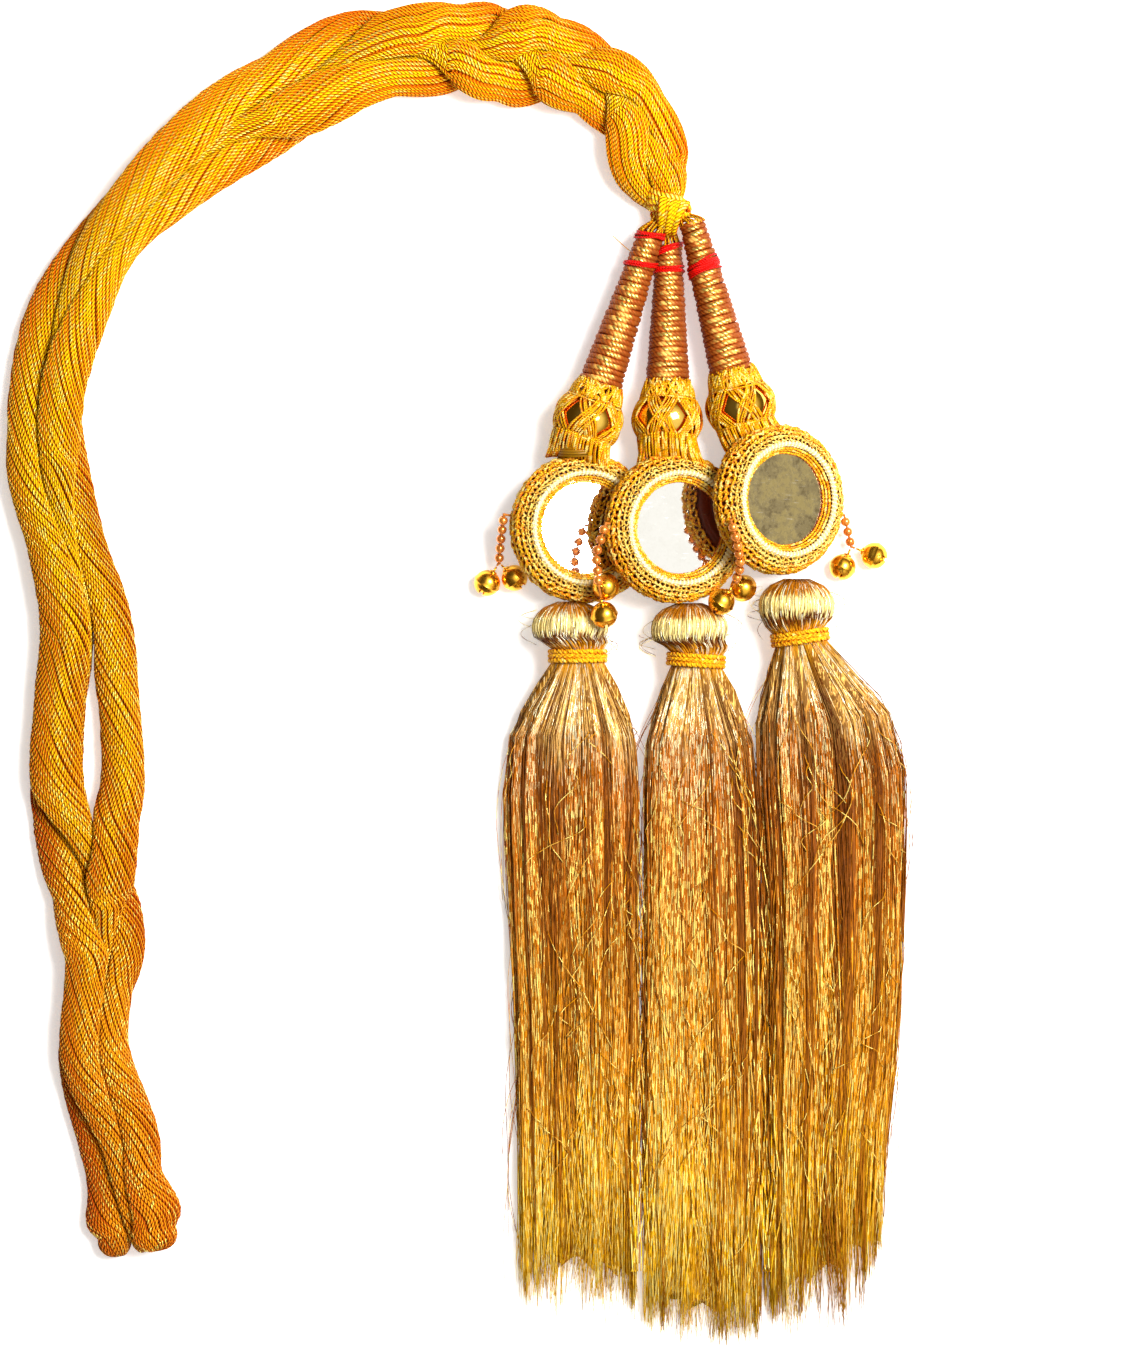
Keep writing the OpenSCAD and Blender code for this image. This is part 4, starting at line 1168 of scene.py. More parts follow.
def rim_shapes(settings, i, rng):
    """The crochet rim over its padding, and the metal thread crochet inside it."""
    crochet, zari = Shape(), Shape()
    matrix = medallion_matrix(i)
    roll = [RING_R, 0] + arc_outline(ROLL - PADDING_INSET, np.radians(np.linspace(112, -125, 26)))
    floor_z, wall = POCKET_FLOOR - 0.02, MIRROR_D / 2 + 0.15
    outline = np.concatenate([[[0.05, floor_z], [wall, floor_z], [wall, 2.6]], roll,
                              [[0.05, MEDALLION_BACK + PADDING_INSET]]])
    # The padding is painted fully dark, as the shade in the holes between the stitches
    crochet.lathe(outline, 72, matrix, tone=0.95, along=1.0)
    for piece, rows in ((crochet, RIM_ROWS), (zari, ZARI_ROWS)):
        for phi, share, *look in rows:
            chain_row(piece, matrix, phi, round(settings.stitches * share), look, rng)
    theta = round_angles(EDGE_STEPS)
    notch = np.maximum(np.sin(EDGE_NOTCHES * theta), 0)
    for r, z, thread_r in EDGE_RINGS:
        own_r = r + NOTCH_DEPTH * notch + 0.1 * smooth_noise(rng, 1, EDGE_STEPS, 40)[0]
        ring = circle(theta, own_r) + UP * (z - NOTCH_DEPTH * notch)[:, None]
        crochet.thread(matrix, ring, UP, thread_r - 0.1 * notch, 5, loop=True, tone=rng.uniform())
    return crochet, zari


def wound_ring_shape(i, rng):
    """Metal thread wound closely round a thin ring."""
    count = WOUND_TURNS * WOUND_STEPS
    t = np.arange(count) / count
    theta = TAU * t
    r = WOUND_D / 2 - WOUND_THREAD_R + 0.06 + 0.08 * smooth_noise(rng, 1, count, 60)[0]
    out = ring_side(theta, TAU * WOUND_TURNS * t)
    path = circle(theta, WOUND_R) + UP * WOUND_Z + out * r[:, None]
    matrix = medallion_matrix(i)
    shape = Shape()
    shape.thread(matrix, path, out, WOUND_THREAD_R, 4, loop=True)
    core = [WOUND_R, WOUND_Z] + arc_outline(WOUND_CORE_R, round_angles(8))
    # Its core takes a little painted shade, seen in the gaps between the turns
    shape.lathe(core, 72, matrix, loop=True, along=0.15)
    return shape


def mirror_material(name, wear):
    """Silvered glass with dull patches, fine scratches and a slightly uneven back."""
    f = Finish(name)
    place = f.position()
    cloud = f.noise(place, 160.0, 5.0, 0.6)
    spots = f.noise(place, 700.0, 4.0, 0.65)
    scratch = f.noise(f.mapped(place, (1, 22, 1), 0.9), 260.0, 2.0)
    dull = (cloud.step(0.44, 0.58) * 0.6 + spots.step(0.46, 0.6) * 0.4) * wear
    streak = scratch.step(0.68, 0.76)
    return f.surface({
        "Base Color": f.blend(dull, linear(255, 253, 246), linear(132, 118, 80)),
        "Roughness": 0.04 + dull * 0.1 + streak * 0.15,
        "Metallic": 1 - dull * 0.08 - streak * 0.2,
        "Normal": f.bump(cloud, 0.05),
    })


class PARANDA_OT_medallions(bpy.types.Operator):
    """Make the crochet rims, wound rings and mirrors"""
    bl_idname = "paranda.medallions"
    bl_label = "Mirror medallions"

    def execute(self, context):
        settings = context.scene.paranda_medallions
        rng = np.random.default_rng(43)
        wool = silk_material("crochet_rim", settings.rim_colour[:], settings.rim_deep_colour[:],
                             0.26, 0.4, 0.2)
        zari = silk_material("rim_zari", linear(255, 222, 96), linear(206, 112, 10), 0.24, 0.4, 0.4)
        pale = metal_thread_material("zari_thread", settings.zari_colour[:], linear(250, 222, 140),
                                     0.25, 0.3)
        # The right mirror's heavy olive patches are partly tarnish and partly a painted olive reflection
        clean, worn = mirror_material("mirror_glass", 0.06), mirror_material("mirror_glass_tarnish_and_olive_reflection", 0.8)
        for i, side in enumerate(SIDES):
            crochet, inner = rim_shapes(settings, i, rng)
            dress(crochet.build(f"crochet_rim_{side}"), [f"medallion_{side}"], wool)
            dress(inner.build(f"zari_crochet_{side}"), [], zari)
            piece = wound_ring_shape(i, rng).build(f"wound_ring_{side}")
            dress(piece, [f"zari_ring_{side}"], pale)
            paint(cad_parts[f"mirror_{side}"], worn if side == "right" else clean)
        return {"FINISHED"}


def seed_shape(path, counts):
    """Small drilled beads on each stretch of a drop."""
    shape = Shape()
    outline = arc_outline(SEED_D / 2, np.linspace(-1.08, 1.08, 11))
    bore = [[SEED_BORE_D / 2, SEED_D / 2 * 0.83], [SEED_BORE_D / 2, -SEED_D / 2 * 0.83]]
    outline = np.concatenate([outline, bore])
    for n in range(1, len(path)):
        start, end = np.array(path[n - 1], float), np.array(path[n], float)
        lead = THREAD_LEAD if n == 1 else 0
        pitch = (np.linalg.norm(end - start) - lead) / counts[n - 1]
        matrix = aim_matrix(start, end)
        for k in range(counts[n - 1]):
            place = matrix @ Matrix.Translation((0, 0, lead + (k + 0.5) * pitch))
            shape.lathe(outline, 20, place, loop=True, tone=(k * 0.37 + n * 0.21) % 1)
    return shape


# The seam round a bell stands this far out, fades over these degrees, and the shell lies this far in
SEAM_HEIGHT, SEAM_FADE, SHELL_INSET = 0.16, 5, 0.08


def bell_mesh():
    """One bell in its own coordinates: a sheet-metal ball with a seam, a slit and two round holes."""
    r = BELL_D / 2
    angle = np.linspace(-math.pi / 2 + 0.02, math.pi / 2 - 0.02, 41)
    seam = SEAM_HEIGHT * np.exp(-(np.degrees(angle) / SEAM_FADE) ** 2)
    shell_r = r - SHELL_INSET
    outline = np.stack([(shell_r + seam) * np.cos(angle), shell_r * np.sin(angle)], axis=1)
    hollow = arc_outline(r - BELL_WALL, angle)
    still = Matrix.Identity(4)
    body = Shape()
    body.lathe(outline, 44, still)
    cutters = Shape()
    cutters.lathe(hollow[::4], 20, still)
    half = BELL_SLIT / 2
    corners = np.array([[-r, -half], [r, -half], [r, half], [-r, half]])
    slab = np.stack([np.column_stack([corners, np.full(4, z)]) for z in (-2 * r, -r + 2 * r * SLIT_REACH)])
    slit = Shape()
    slit.grids(slab[None])
    holes = Shape()
    for sign in (-1, 1):
        tilt = Matrix.Rotation(math.radians(sign * BELL_HOLE_ANGLE), 4, "Y")
        hole = [[BELL_HOLE_D / 2, -2 * r], [BELL_HOLE_D / 2, -r * 0.4]]
        holes.lathe(hole, 20, tilt)
    piece = body.build("bell_body")
    tools = [part.build(f"bell_tool_{n}") for n, part in enumerate((cutters, slit, holes))]
    for tool in tools:
        cut = piece.modifiers.new("cut", "BOOLEAN")
        cut.object = tool
        cut.operation = "DIFFERENCE"
        cut.solver = "EXACT"
    ready = piece.evaluated_get(bpy.context.evaluated_depsgraph_get())
    mesh = bpy.data.meshes.new_from_object(ready)
    points = np.array([v.co for v in mesh.vertices]) / MM + FOOTPRINT_CENTRE
    faces = [tuple(p.vertices) for p in mesh.polygons]
    for thing in [piece, *tools]:
        bpy.data.objects.remove(thing)
    return points, faces


def bell_piece(name, bell, fork, points, faces):
    """A bell at its place, with the wire loop on its top."""
    matrix = aim_matrix(bell, fork)
    shape = Shape()
    theta = round_angles(26)
    loop_z = BELL_D / 2 + LOOP_R - LOOP_WIRE_D / 2
    ring = np.stack([LOOP_R * np.cos(theta), 0 * theta, loop_z + LOOP_R * np.sin(theta)], axis=1)
    shape.thread(matrix, ring, np.array([0.0, 1.0, 0.0]), LOOP_WIRE_D / 2, 8, loop=True)
    collar = [[0.05, 0], [1.0, 0], [0.95, 0.22], [0.5, 0.38], [0.05, 0.4]]
    shape.lathe(collar, 20, matrix @ Matrix.Translation((0, 0, BELL_D / 2 - 0.18)))
    pellet = arc_outline(PELLET_R, np.linspace(-1.5, 1.5, 13))
    shape.lathe(pellet, 20, matrix @ Matrix.Translation((0, 0, PELLET_R + BELL_WALL + 0.05 - BELL_D / 2)))
    piece = shape.build(name)
    body = bpy.data.meshes.new(name + "_body")
    places = (moved(matrix, points) - FOOTPRINT_CENTRE) * MM
    body.from_pydata([tuple(p) for p in places], [], faces)
    body.polygons.foreach_set("use_smooth", np.ones(len(faces), bool))
    body.set_sharp_from_angle(angle=math.radians(40))
    extra = bpy.data.objects.new(name + "_body", body)
    bpy.context.scene.collection.objects.link(extra)
    with bpy.context.temp_override(active_object=piece, selected_editable_objects=[piece, extra]):
        bpy.ops.object.join()
    return piece


def seed_material(colour):
    """Small glossy beads with a coppery lustre."""
    f = Finish("drop_bead")
    tone = f.attribute("tone")
    patch = f.noise(f.position(), 900.0, 2.0)
    return f.surface({
        "Base Color": f.blend(tone * 0.4 + patch * 0.3, colour, linear(206, 92, 22)),
        "Roughness": 0.12 + patch * 0.1,
        "Metallic": 0.6,
        "Coat Weight": 0.5,
        "Normal": f.bump(patch, 0.02),
    })


def cord_material():
    """Thin twisted thread, coloured by its place because it is a plain solid."""
    f = Finish("drop_thread")
    place = f.position()
    bands = f.noise(place, 1500.0, 3.0)
    return f.surface({
        "Base Color": f.blend(bands, linear(150, 72, 14), linear(216, 134, 30)),
        "Roughness": 0.6 + bands * 0.1,
        "Normal": f.bump(bands, 0.08),
    })


class PARANDA_OT_drops(bpy.types.Operator):
    """Make the beaded drops and their bells"""
    bl_idname = "paranda.drops"
    bl_label = "Drops and bells"

    def execute(self, context):
        settings = context.scene.paranda_drops
        bead = seed_material(settings.bead_colour[:])
        thread = cord_material()
        brass = polished_material("bell_brass", settings.bell_colour[:], linear(206, 120, 20), 0.2, 0.6)
        points, faces = bell_mesh()
        for name, path, counts, bells in DROPS:
            piece = seed_shape(path, counts).build(f"small_beads_{name}")
            dress(piece, [f"drop_beads_{name}"], bead)
            for k, bell in enumerate(bells, 1):
                piece = bell_piece(f"bell_shell_{name}_{k}", bell, path[-1], points, faces)
                dress(piece, [f"bell_{name}_{k}"], brass)
            paint(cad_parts[f"drop_thread_{name}"], thread)
        return {"FINISHED"}


def tassel_rows(i):
    """Rows of the whole tassel from the top of its head to the start of its hem."""
    rows = []
    for degrees in HEAD_ANGLES:
        a = math.radians(degrees)
        w, h = HEAD_W / 2 * math.cos(a), HEAD_H / 2 * math.cos(a)
        x, y, z = HEADS[i]
        rows.append([y + HEAD_LENGTHS[i] / 2 * math.sin(a), x - w, x + w, z - h, z + h, 0])
    for dy in (NECK_LENGTH / 2, -NECK_LENGTH / 2):
        x, y, z = NECKS[i]
        x -= dy * math.tan(math.radians(LEANS[i]))
        rows.append([y + dy, x - NECK_D / 2, x + NECK_D / 2, z - NECK_D / 2, z + NECK_D / 2, LEANS[i]])
    for k, row in enumerate(SKIRTS[i]):
        rows.append([*row, LEANS[i] / 2 if k == 0 else 0])
    rows.append([SKIRT_END, rows[-1][LEFT], rows[-1][RIGHT], 0, SKIRT_END_HEIGHT, 0])
    return np.array(rows, float)


def hem_at(i, share):
    left, middle, right = HEMS[i]
    return (left * (1 - share) * (1 - 2 * share) + middle * 4 * share * (1 - share)
            + right * share * (2 * share - 1))


def tassel_surface(i, y, angle, scale, furrows=1.0):
    """Points on the tassel's surface at y and angles round it, drawn in by scale, and their directions."""
    table = tassel_rows(i)
    dense = row_at(table, np.linspace(0, len(table) - 1, 400))
    order = np.argsort(dense[:, ROW_Y])
    row = [np.interp(y, dense[order, ROW_Y], dense[order, c]) for c in range(6)]
    neck_end = NECKS[i][1] - NECK_LENGTH / 2
    skirt = np.clip((neck_end - y) / FURROW_START, 0, 1)
    furrow = np.abs(np.sin(angle * LOCKS / 2)) ** FURROW_POWER
    inward = (1 - skirt * FURROW_DEPTH * furrows * furrow) * scale
    side_power = 1 + skirt * (TOP_SQUARENESS - 1)
    lift_power = 1 + skirt * (np.where(np.sin(angle) > 0, TOP_SQUARENESS, BED_SQUARENESS) - 1)
    side = np.sign(np.cos(angle)) * np.abs(np.cos(angle)) ** side_power * inward
    lift = np.sign(np.sin(angle)) * np.abs(np.sin(angle)) ** lift_power * inward
    off = side * (row[RIGHT] - row[LEFT]) / 2
    thick = (row[HIGH] - row[LOW]) / 2
    points = np.stack([(row[LEFT] + row[RIGHT]) / 2 + off, y + off * np.tan(np.radians(row[TILT])),
                       (row[LOW] + row[HIGH]) / 2 + lift * thick], axis=-1)
    out = np.stack([np.cos(angle), 0 * angle, np.sin(angle)], axis=-1)
    return points, np.broadcast_to(out, points.shape)


HEAD_TOP_SHARE = 0.94
SKIRT_RINGS, HEAD_RINGS, HEAD_THREADS = 13, 12, 230
# The ball of a head runs on to this far above the neck's middle, where it has closed in by this much
HEAD_FOOT, HEAD_CLOSING = 1.9, 0.72
# Loose threads hang in this many bunches, and fill the furrows of the solid in part
BUNCHES, LOOSE_FURROWS = 80, 0.4
# The lowest threads end about here
LOWEST_END = -166
# Share of the thread's colours that the head takes, and length over which the skirt takes the rest
SKIRT_ALONG, SKIRT_LENGTH = 0.2, 155
# Loose filaments: rings, radius, lowest end, and how many lie across a skirt and stand off a head
STRAY_RINGS, STRAY_R, STRAY_LOWEST, CROSSING_STRAYS, HEAD_STRAYS = 14, 0.08, -162, 30, 12
# Threads over the valley between two skirts: how many, rings, radius
BORDER_THREADS, BORDER_RINGS, BORDER_R = 80, 10, 0.16
# The body's share of the solid down to the neck and at the hem
BODY_SHARE, HEM_SHARE = 0.975, 0.93
# Least heights of loose threads, filaments, the head's threads and the body
LOOSE_LEAST, STRAY_LEAST, HEAD_LEAST, BODY_LEAST = 0.2, 0.15, 0.25, 0.35
# Share of a skirt's loose threads on its upper side, and how far these reach past it, in radians
UPPER_SHARE, UPPER_REACH = 0.76, 0.12
# Spread of the ends of bunches and of threads, share of short threads, and how much is missing there
BUNCH_SPREAD, END_SPREAD, SHORT_SHARE, SHORT_BY = 4.0, 2.2, 0.12, (5, 60)
# How far the threads are drawn to the middle of their bunch at the hem
BUNCH_PULL = 0.55
# Radius of the filaments across a skirt and of the head's threads
CROSSING_R, HEAD_THREAD_R = 0.11, 0.17
# Rings of the body over the head and down the skirt
BODY_HEAD_RINGS, BODY_SKIRT_RINGS = 14, 21


def thin_to_hem(points, end_y):
    """Flattens a skirt towards its hem, as the solid does."""
    share = np.clip(1 - (points[..., 1] - end_y) / HEM_TAPER, 0, 1)
    points[..., 2] *= 1 - share * HEM_THINNING


def tassel_shape(settings, i, rng):
    """Layers of fine metal threads over a body of the same form."""
    shape = Shape()
    neck_end = NECKS[i][1] - NECK_LENGTH / 2
    count = settings.threads
    upper = rng.uniform(-UPPER_REACH, math.pi + UPPER_REACH, int(count * UPPER_SHARE))
    lower = rng.uniform(math.pi, TAU, count - len(upper))
    angle = np.concatenate([upper, lower])
    share = np.clip((np.cos(angle) + 1) / 2, 0, 1)
    bunch = np.sort(rng.uniform(0, TAU, BUNCHES))
    nearest = np.argmin(np.abs(np.angle(np.exp(1j * (angle[:, None] - bunch)))), axis=1)
    pull = np.angle(np.exp(1j * (bunch[nearest] - angle)))[:, None]
    end = hem_at(i, share) + rng.normal(0, BUNCH_SPREAD, BUNCHES)[nearest]
    end = end + rng.normal(0, END_SPREAD, count)
    short = rng.uniform(size=count) < SHORT_SHARE
    end = np.where(short, end + rng.uniform(*SHORT_BY, count), end)
    end = np.maximum(end, LOWEST_END + rng.uniform(-3.5, 3, count))
    t = np.linspace(0, 1, SKIRT_RINGS) ** 0.85
    start = neck_end + 1.2
    y = start + (end[:, None] - start) * t
    depth = (rng.uniform(0.9, 1.02, BUNCHES)[nearest] + rng.uniform(-0.04, 0.03, count))[:, None]
    tone = rng.uniform(0, 0.66, BUNCHES)[nearest] + rng.uniform(0, 0.34, count)
    sway = smooth_noise(rng, count, SKIRT_RINGS, 5) * (0.05 + 0.1 * t) + rng.normal(0, 0.05, (count, 1)) * t
    sway = sway + 0.1 * smooth_noise(rng, BUNCHES, SKIRT_RINGS, 3)[nearest] * t
    around = angle[:, None] + sway + pull * BUNCH_PULL * t ** 1.5
    points, out = tassel_surface(i, y, around, depth, LOOSE_FURROWS)
    thin_to_hem(points, end[:, None])
    points[..., 2] += 0.6 * smooth_noise(rng, count, SKIRT_RINGS, 6) * t
    keep_above(points, LOOSE_LEAST)
    radii = settings.thread_d / 2 * rng.uniform(0.75, 1.2, (count, 1)) * np.clip(1.15 - t ** 6, 0.35, 1)
    roll = rng.uniform(0, TAU, (count, 1)) + rng.normal(0, 2.5, (count, 1)) * t
    along = SKIRT_ALONG + (1 - SKIRT_ALONG) * t
    shape.tubes(points, out, radii, 3, roll=roll, tone=tone, along=along[None])
    stray_threads(shape, settings, i, rng)
    if i < 2:
        border_threads(shape, i, rng)
    head_threads(shape, i, rng)
    body_surface(shape, i)
    return shape


def stray_threads(shape, settings, i, rng):
    """Fine filaments that leave the skirt at its sides, lie across it and stand off the head."""
    count = settings.strays
    neck_y = NECKS[i][1]
    t = np.linspace(0, 1, STRAY_RINGS)
    side = rng.choice([-1.0, 1.0], count)
    top = neck_y - rng.uniform(6, 100, count)
    end = np.maximum(top - rng.uniform(20, 70, count), STRAY_LOWEST)
    y = top[:, None] + (end - top)[:, None] * t
    base, _ = tassel_surface(i, y, np.where(side > 0, 0.12, math.pi - 0.12)[:, None] + 0 * y, 0.97 + 0 * y)
    bow = rng.uniform(0.5, 8.0, count)[:, None] * np.sin(math.pi * t * rng.uniform(0.5, 1.1, (count, 1)))
    base[..., 0] += side[:, None] * bow + 0.5 * smooth_noise(rng, count, STRAY_RINGS, 5)
    base[..., 2] = np.clip(base[..., 2] * (1 - 0.6 * t), 0.3, None)
    base[..., 2] += 0.4 * smooth_noise(rng, count, STRAY_RINGS, 3)
    keep_above(base, STRAY_LEAST)
    shape.tubes(base, UP, STRAY_R, 3, tone=rng.uniform(0, 1, count), along=0.5)
    one_each = (CROSSING_STRAYS, 1)
    y = neck_y - 12 - rng.uniform(0, 115, one_each) - rng.uniform(8, 30, one_each) * t
    sweep = rng.uniform(0.4, 2.7, one_each) + rng.uniform(-0.9, 0.9, one_each) * t
    sweep = sweep + 0.12 * smooth_noise(rng, CROSSING_STRAYS, STRAY_RINGS, 4)
    points, out = tassel_surface(i, y, sweep, 1.03 + 0 * y, LOOSE_FURROWS)
    points[..., 2] += 0.4 + 0.8 * np.sin(math.pi * t)
    shape.tubes(points, out, CROSSING_R, 3, tone=1.0, along=0.7)
    one_each = (HEAD_STRAYS, 1)
    place = rng.uniform(0, 1, one_each)
    lean = np.where(rng.uniform(size=one_each) < 0.5, -1, 1)
    x, top_y, z = HEADS[i]
    along_y = top_y + 5 - 9 * place - 7 * t * rng.uniform(0.3, 1, one_each)
    out_x = HEAD_W / 2 * 0.9 + rng.uniform(1, 5, one_each) * np.sin(math.pi * t)
    points = np.stack([x + lean * out_x, along_y, z - 2 * t + rng.uniform(-3, 2, one_each)], axis=-1)
    shape.tubes(points, UP, STRAY_R, 3, tone=rng.uniform(0, 1, HEAD_STRAYS), along=0.107)


def border_threads(shape, i, rng):
    """Threads of a skirt that lie over the valley between it and the next one."""
    one_each = (BORDER_THREADS, 1)
    t = np.linspace(0, 1, BORDER_RINGS)
    y = -42 - rng.uniform(0, 104, one_each) - rng.uniform(14, 34, one_each) * (t - 0.5)
    off = rng.normal(0, 1.8, one_each) + rng.uniform(-2.2, 2.2, one_each) * (t - 0.5)
    off = off + 0.5 * smooth_noise(rng, BORDER_THREADS, BORDER_RINGS, 3)
    border = (SKIRTS[i][4][RIGHT] + SKIRTS[i + 1][4][LEFT]) / 2
    z = 5.2 + 2.2 * np.minimum(np.abs(off) / 3, 1)
    z = z + 0.5 * smooth_noise(rng, BORDER_THREADS, BORDER_RINGS, 3)
    points = np.stack([border + off, np.maximum(y, -150), z], axis=-1)
    shape.tubes(points, UP, BORDER_R, 3, tone=rng.uniform(0, 1, BORDER_THREADS),
                along=SKIRT_ALONG - (1 - SKIRT_ALONG) * y / SKIRT_LENGTH)


def head_threads(shape, i, rng):
    """Threads that run over the head from its top and pass under the tie."""
    top = HEADS[i][1] + HEAD_LENGTHS[i] / 2 * HEAD_TOP_SHARE
    angle = TAU * (np.arange(HEAD_THREADS) + rng.uniform(-0.4, 0.4, HEAD_THREADS)) / HEAD_THREADS
    tie_y = NECKS[i][1] + HEAD_FOOT
    levels = np.concatenate([np.linspace(top, tie_y, HEAD_RINGS - 3), tie_y - np.array([0.5, 1.9, 3.9])])
    t = (top - levels) / (top - levels[-1])
    low = np.clip((HEADS[i][1] - levels) / (HEADS[i][1] - tie_y), 0, 1)
    edges, _ = tassel_surface(i, levels, np.array([[0.0], [math.pi]]), 1.0)
    half = (edges[0, :, 0] - edges[1, :, 0]) / 2
    round_below = np.maximum(HEAD_W / 2 * np.sqrt(1 - (HEAD_CLOSING * low) ** 2) / half, 1)
    fuller = np.where((low > 0) & (levels >= tie_y), round_below, 1)
    y = np.repeat(levels[None], HEAD_THREADS, axis=0)
    sway = smooth_noise(rng, HEAD_THREADS, HEAD_RINGS, 3) * 0.05
    scale = rng.uniform(0.97, 1.02, (HEAD_THREADS, 1)) * fuller
    points, out = tassel_surface(i, y, angle[:, None] + sway, scale)
    keep_above(points, HEAD_LEAST)
    shape.tubes(points, out, HEAD_THREAD_R, 3, roll=rng.uniform(0, TAU, (HEAD_THREADS, 1)),
                tone=rng.uniform(0, 1, HEAD_THREADS), along=(t * SKIRT_ALONG)[None])


def body_surface(shape, i):
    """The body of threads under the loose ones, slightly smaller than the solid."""
    top = HEADS[i][1] + HEAD_LENGTHS[i] / 2 * HEAD_TOP_SHARE
    sides = LOCKS * 8
    angle = round_angles(sides)
    share = (np.cos(angle) + 1) / 2
    hem = hem_at(i, share) + 5.5 + 3.5 * np.abs(np.sin(angle * LOCKS / 2))
    neck_y = NECKS[i][1]
    head_y = np.linspace(top, neck_y, BODY_HEAD_RINGS)
    t = np.linspace(0, 1, BODY_SKIRT_RINGS + 1)[1:, None]
    y = np.concatenate([np.repeat(head_y[:, None], sides, axis=1), neck_y + (hem - neck_y) * t])
    scale = np.concatenate([np.full(BODY_HEAD_RINGS, BODY_SHARE),
                            np.linspace(BODY_SHARE, HEM_SHARE, BODY_SKIRT_RINGS)])
    points, _ = tassel_surface(i, y, angle + 0 * y, scale[:, None] + 0 * y)
    thin_to_hem(points, hem)
    keep_above(points, BODY_LEAST)
    ends = points[-1].copy()
    ends[:, 2] = ends[:, 2] * 0.5 + 1.0
    ends[:, 1] -= 1.5
    fall = neck_y - np.concatenate([y, y[-1:]])
    below = (1 - SKIRT_ALONG) * fall / SKIRT_LENGTH
    along = SKIRT_ALONG + np.where(fall > 0, below, SKIRT_ALONG * fall / 14)
    shape.grids(np.concatenate([points, ends[None]])[None], tone=-1.0, along=np.clip(along, 0, 1)[None])


def tassel_material(settings):
    """Fine metal threads: painted highlight and shade on the head, pale near the neck, brown-gold half way,
    yellow-gold at the hem.
    """
    f = Finish("tassel_zari")
    along_mm = f.thread()[1]
    tone, along = f.attribute("tone"), f.attribute("along")
    on_body = 1 - tone.step(-0.6, -0.2)
    place = f.position()
    streaks = f.noise(f.mapped(place, (1, 0.035, 1)), 2600.0, 2.0)
    spangle = f.noise(f.mapped(place, (1, 0.22, 1)), 1500.0, 2.0)
    own = tone * (1 - on_body) + streaks.step(0.35, 0.7) * on_body * 0.6
    drift = f.noise(f.mapped(place, (1, 0.3, 1)), 130.0, 2.0)
    skirt = along.step(0.15, 0.35)
    fall = along + (drift - 0.5) * 0.2 * skirt + (own - 0.5) * (0.03 + skirt * 0.08)
    pale, brown = settings.neck_tint_and_highlight[:], settings.middle_colour[:]
    painted_head_highlight, gold, shade = linear(255, 234, 154), linear(236, 166, 24), linear(120, 60, 4)
    crown = linear(188, 116, 12)
    # On the head a painted highlight band with a painted shade band below it; near the neck the pale colour
    # is partly a painted highlight
    body = f.ramp(fall, [(0.0, crown), (0.036, crown), (0.05, painted_head_highlight), (0.098, painted_head_highlight), (0.112, shade),
                         (0.128, shade), (0.14, gold), (0.2, gold), (0.225, pale), (0.26, pale),
                         (0.33, brown), (0.5, brown), (0.76, linear(228, 152, 10)),
                         (0.96, settings.hem_colour[:])])
    flake = f.chance((along_mm / 1.8 + tone * 37).floor(), tone * 919)
    below = along.step(0.19, 0.23)
    # Dark threads at random, and painted shade on the body where it shows in the gaps between threads
    dark_tone_and_gap_shade = (1 - flake.step(0.15, 0.3)) * (1 - on_body) * 0.5 + (1 - own.step(0.28, 0.46)) * 0.85 * below
    dark = f.blend(dark_tone_and_gap_shade, body, f.ramp(along, [(0.4, linear(96, 46, 4)), (0.9, linear(150, 84, 8))]))
    glint = (flake + along * 0.14).step(0.62, 0.74) * (1 - on_body) + spangle.step(0.56, 0.68) * on_body
    glint = glint * own.step(0.35, 0.6)
    bright = f.ramp(fall, [(0.25, linear(255, 250, 220)), (0.45, linear(255, 228, 120)), (1.0, PALE_GLINT)])
    colour = f.blend(glint * 0.9, dark, bright)
    return f.surface({
        "Base Color": colour,
        "Roughness": 0.5 - glint * 0.25,
        "Specular IOR Level": 0.1,
        "Metallic": own.step(0.15, 0.5) * (1 - along * 0.5) * 0.4,
        "Normal": f.bump(streaks + spangle * 0.6, 0.25),
    })


# The two plies of a turn of yarn: their radius, distance from its middle, and turns round it
PLY_R, PLY_OFFSET, PLY_TURNS = 0.4, 0.3, 17


def neck_wraps(i, rng):
    """Three plied turns of yarn round the neck."""
    shape = Shape()
    matrix = (Matrix.Translation(Vector(NECKS[i])) @ Matrix.Rotation(math.radians(LEANS[i]), 4, "Z")
              @ Matrix.Rotation(math.radians(90), 4, "X"))
    theta = round_angles(96)
    radial = circle(theta)
    for k in range(TIE_WRAPS):
        level = (k - (TIE_WRAPS - 1) / 2) * WRAP_D * WRAP_SHARE
        hand = 1 if k % 2 else -1
        for ply in (0, 1):
            twist = hand * PLY_TURNS * theta + math.pi * ply + rng.uniform()
            offset = radial * np.cos(twist)[:, None] + UP * np.sin(twist)[:, None]
            path = radial * (NECK_D / 2 + SEAT_GAP + WRAP_D / 2) + UP * level + offset * PLY_OFFSET
            shape.thread(matrix, path, radial, PLY_R, 6, loop=True, tone=rng.uniform())
    return shape


class PARANDA_OT_tassels(bpy.types.Operator):
    """Make the three tassels and the yarn round their necks"""
    bl_idname = "paranda.tassels"
    bl_label = "Tassels"

    def execute(self, context):
        settings = context.scene.paranda_tassels
        rng = np.random.default_rng(57)
        zari = tassel_material(settings)
        yarn = silk_material("tie_yarn", settings.tie_colour[:], linear(222, 110, 4), 0.5, glints=0.04)
        for i, side in enumerate(SIDES):
            piece = tassel_shape(settings, i, rng).build(f"tassel_threads_{side}")
            dress(piece, [f"tassel_{side}"], zari)
            piece = neck_wraps(i, rng).build(f"neck_wraps_{side}")
            dress(piece, [f"neck_tie_{side}"], yarn)
        return {"FINISHED"}


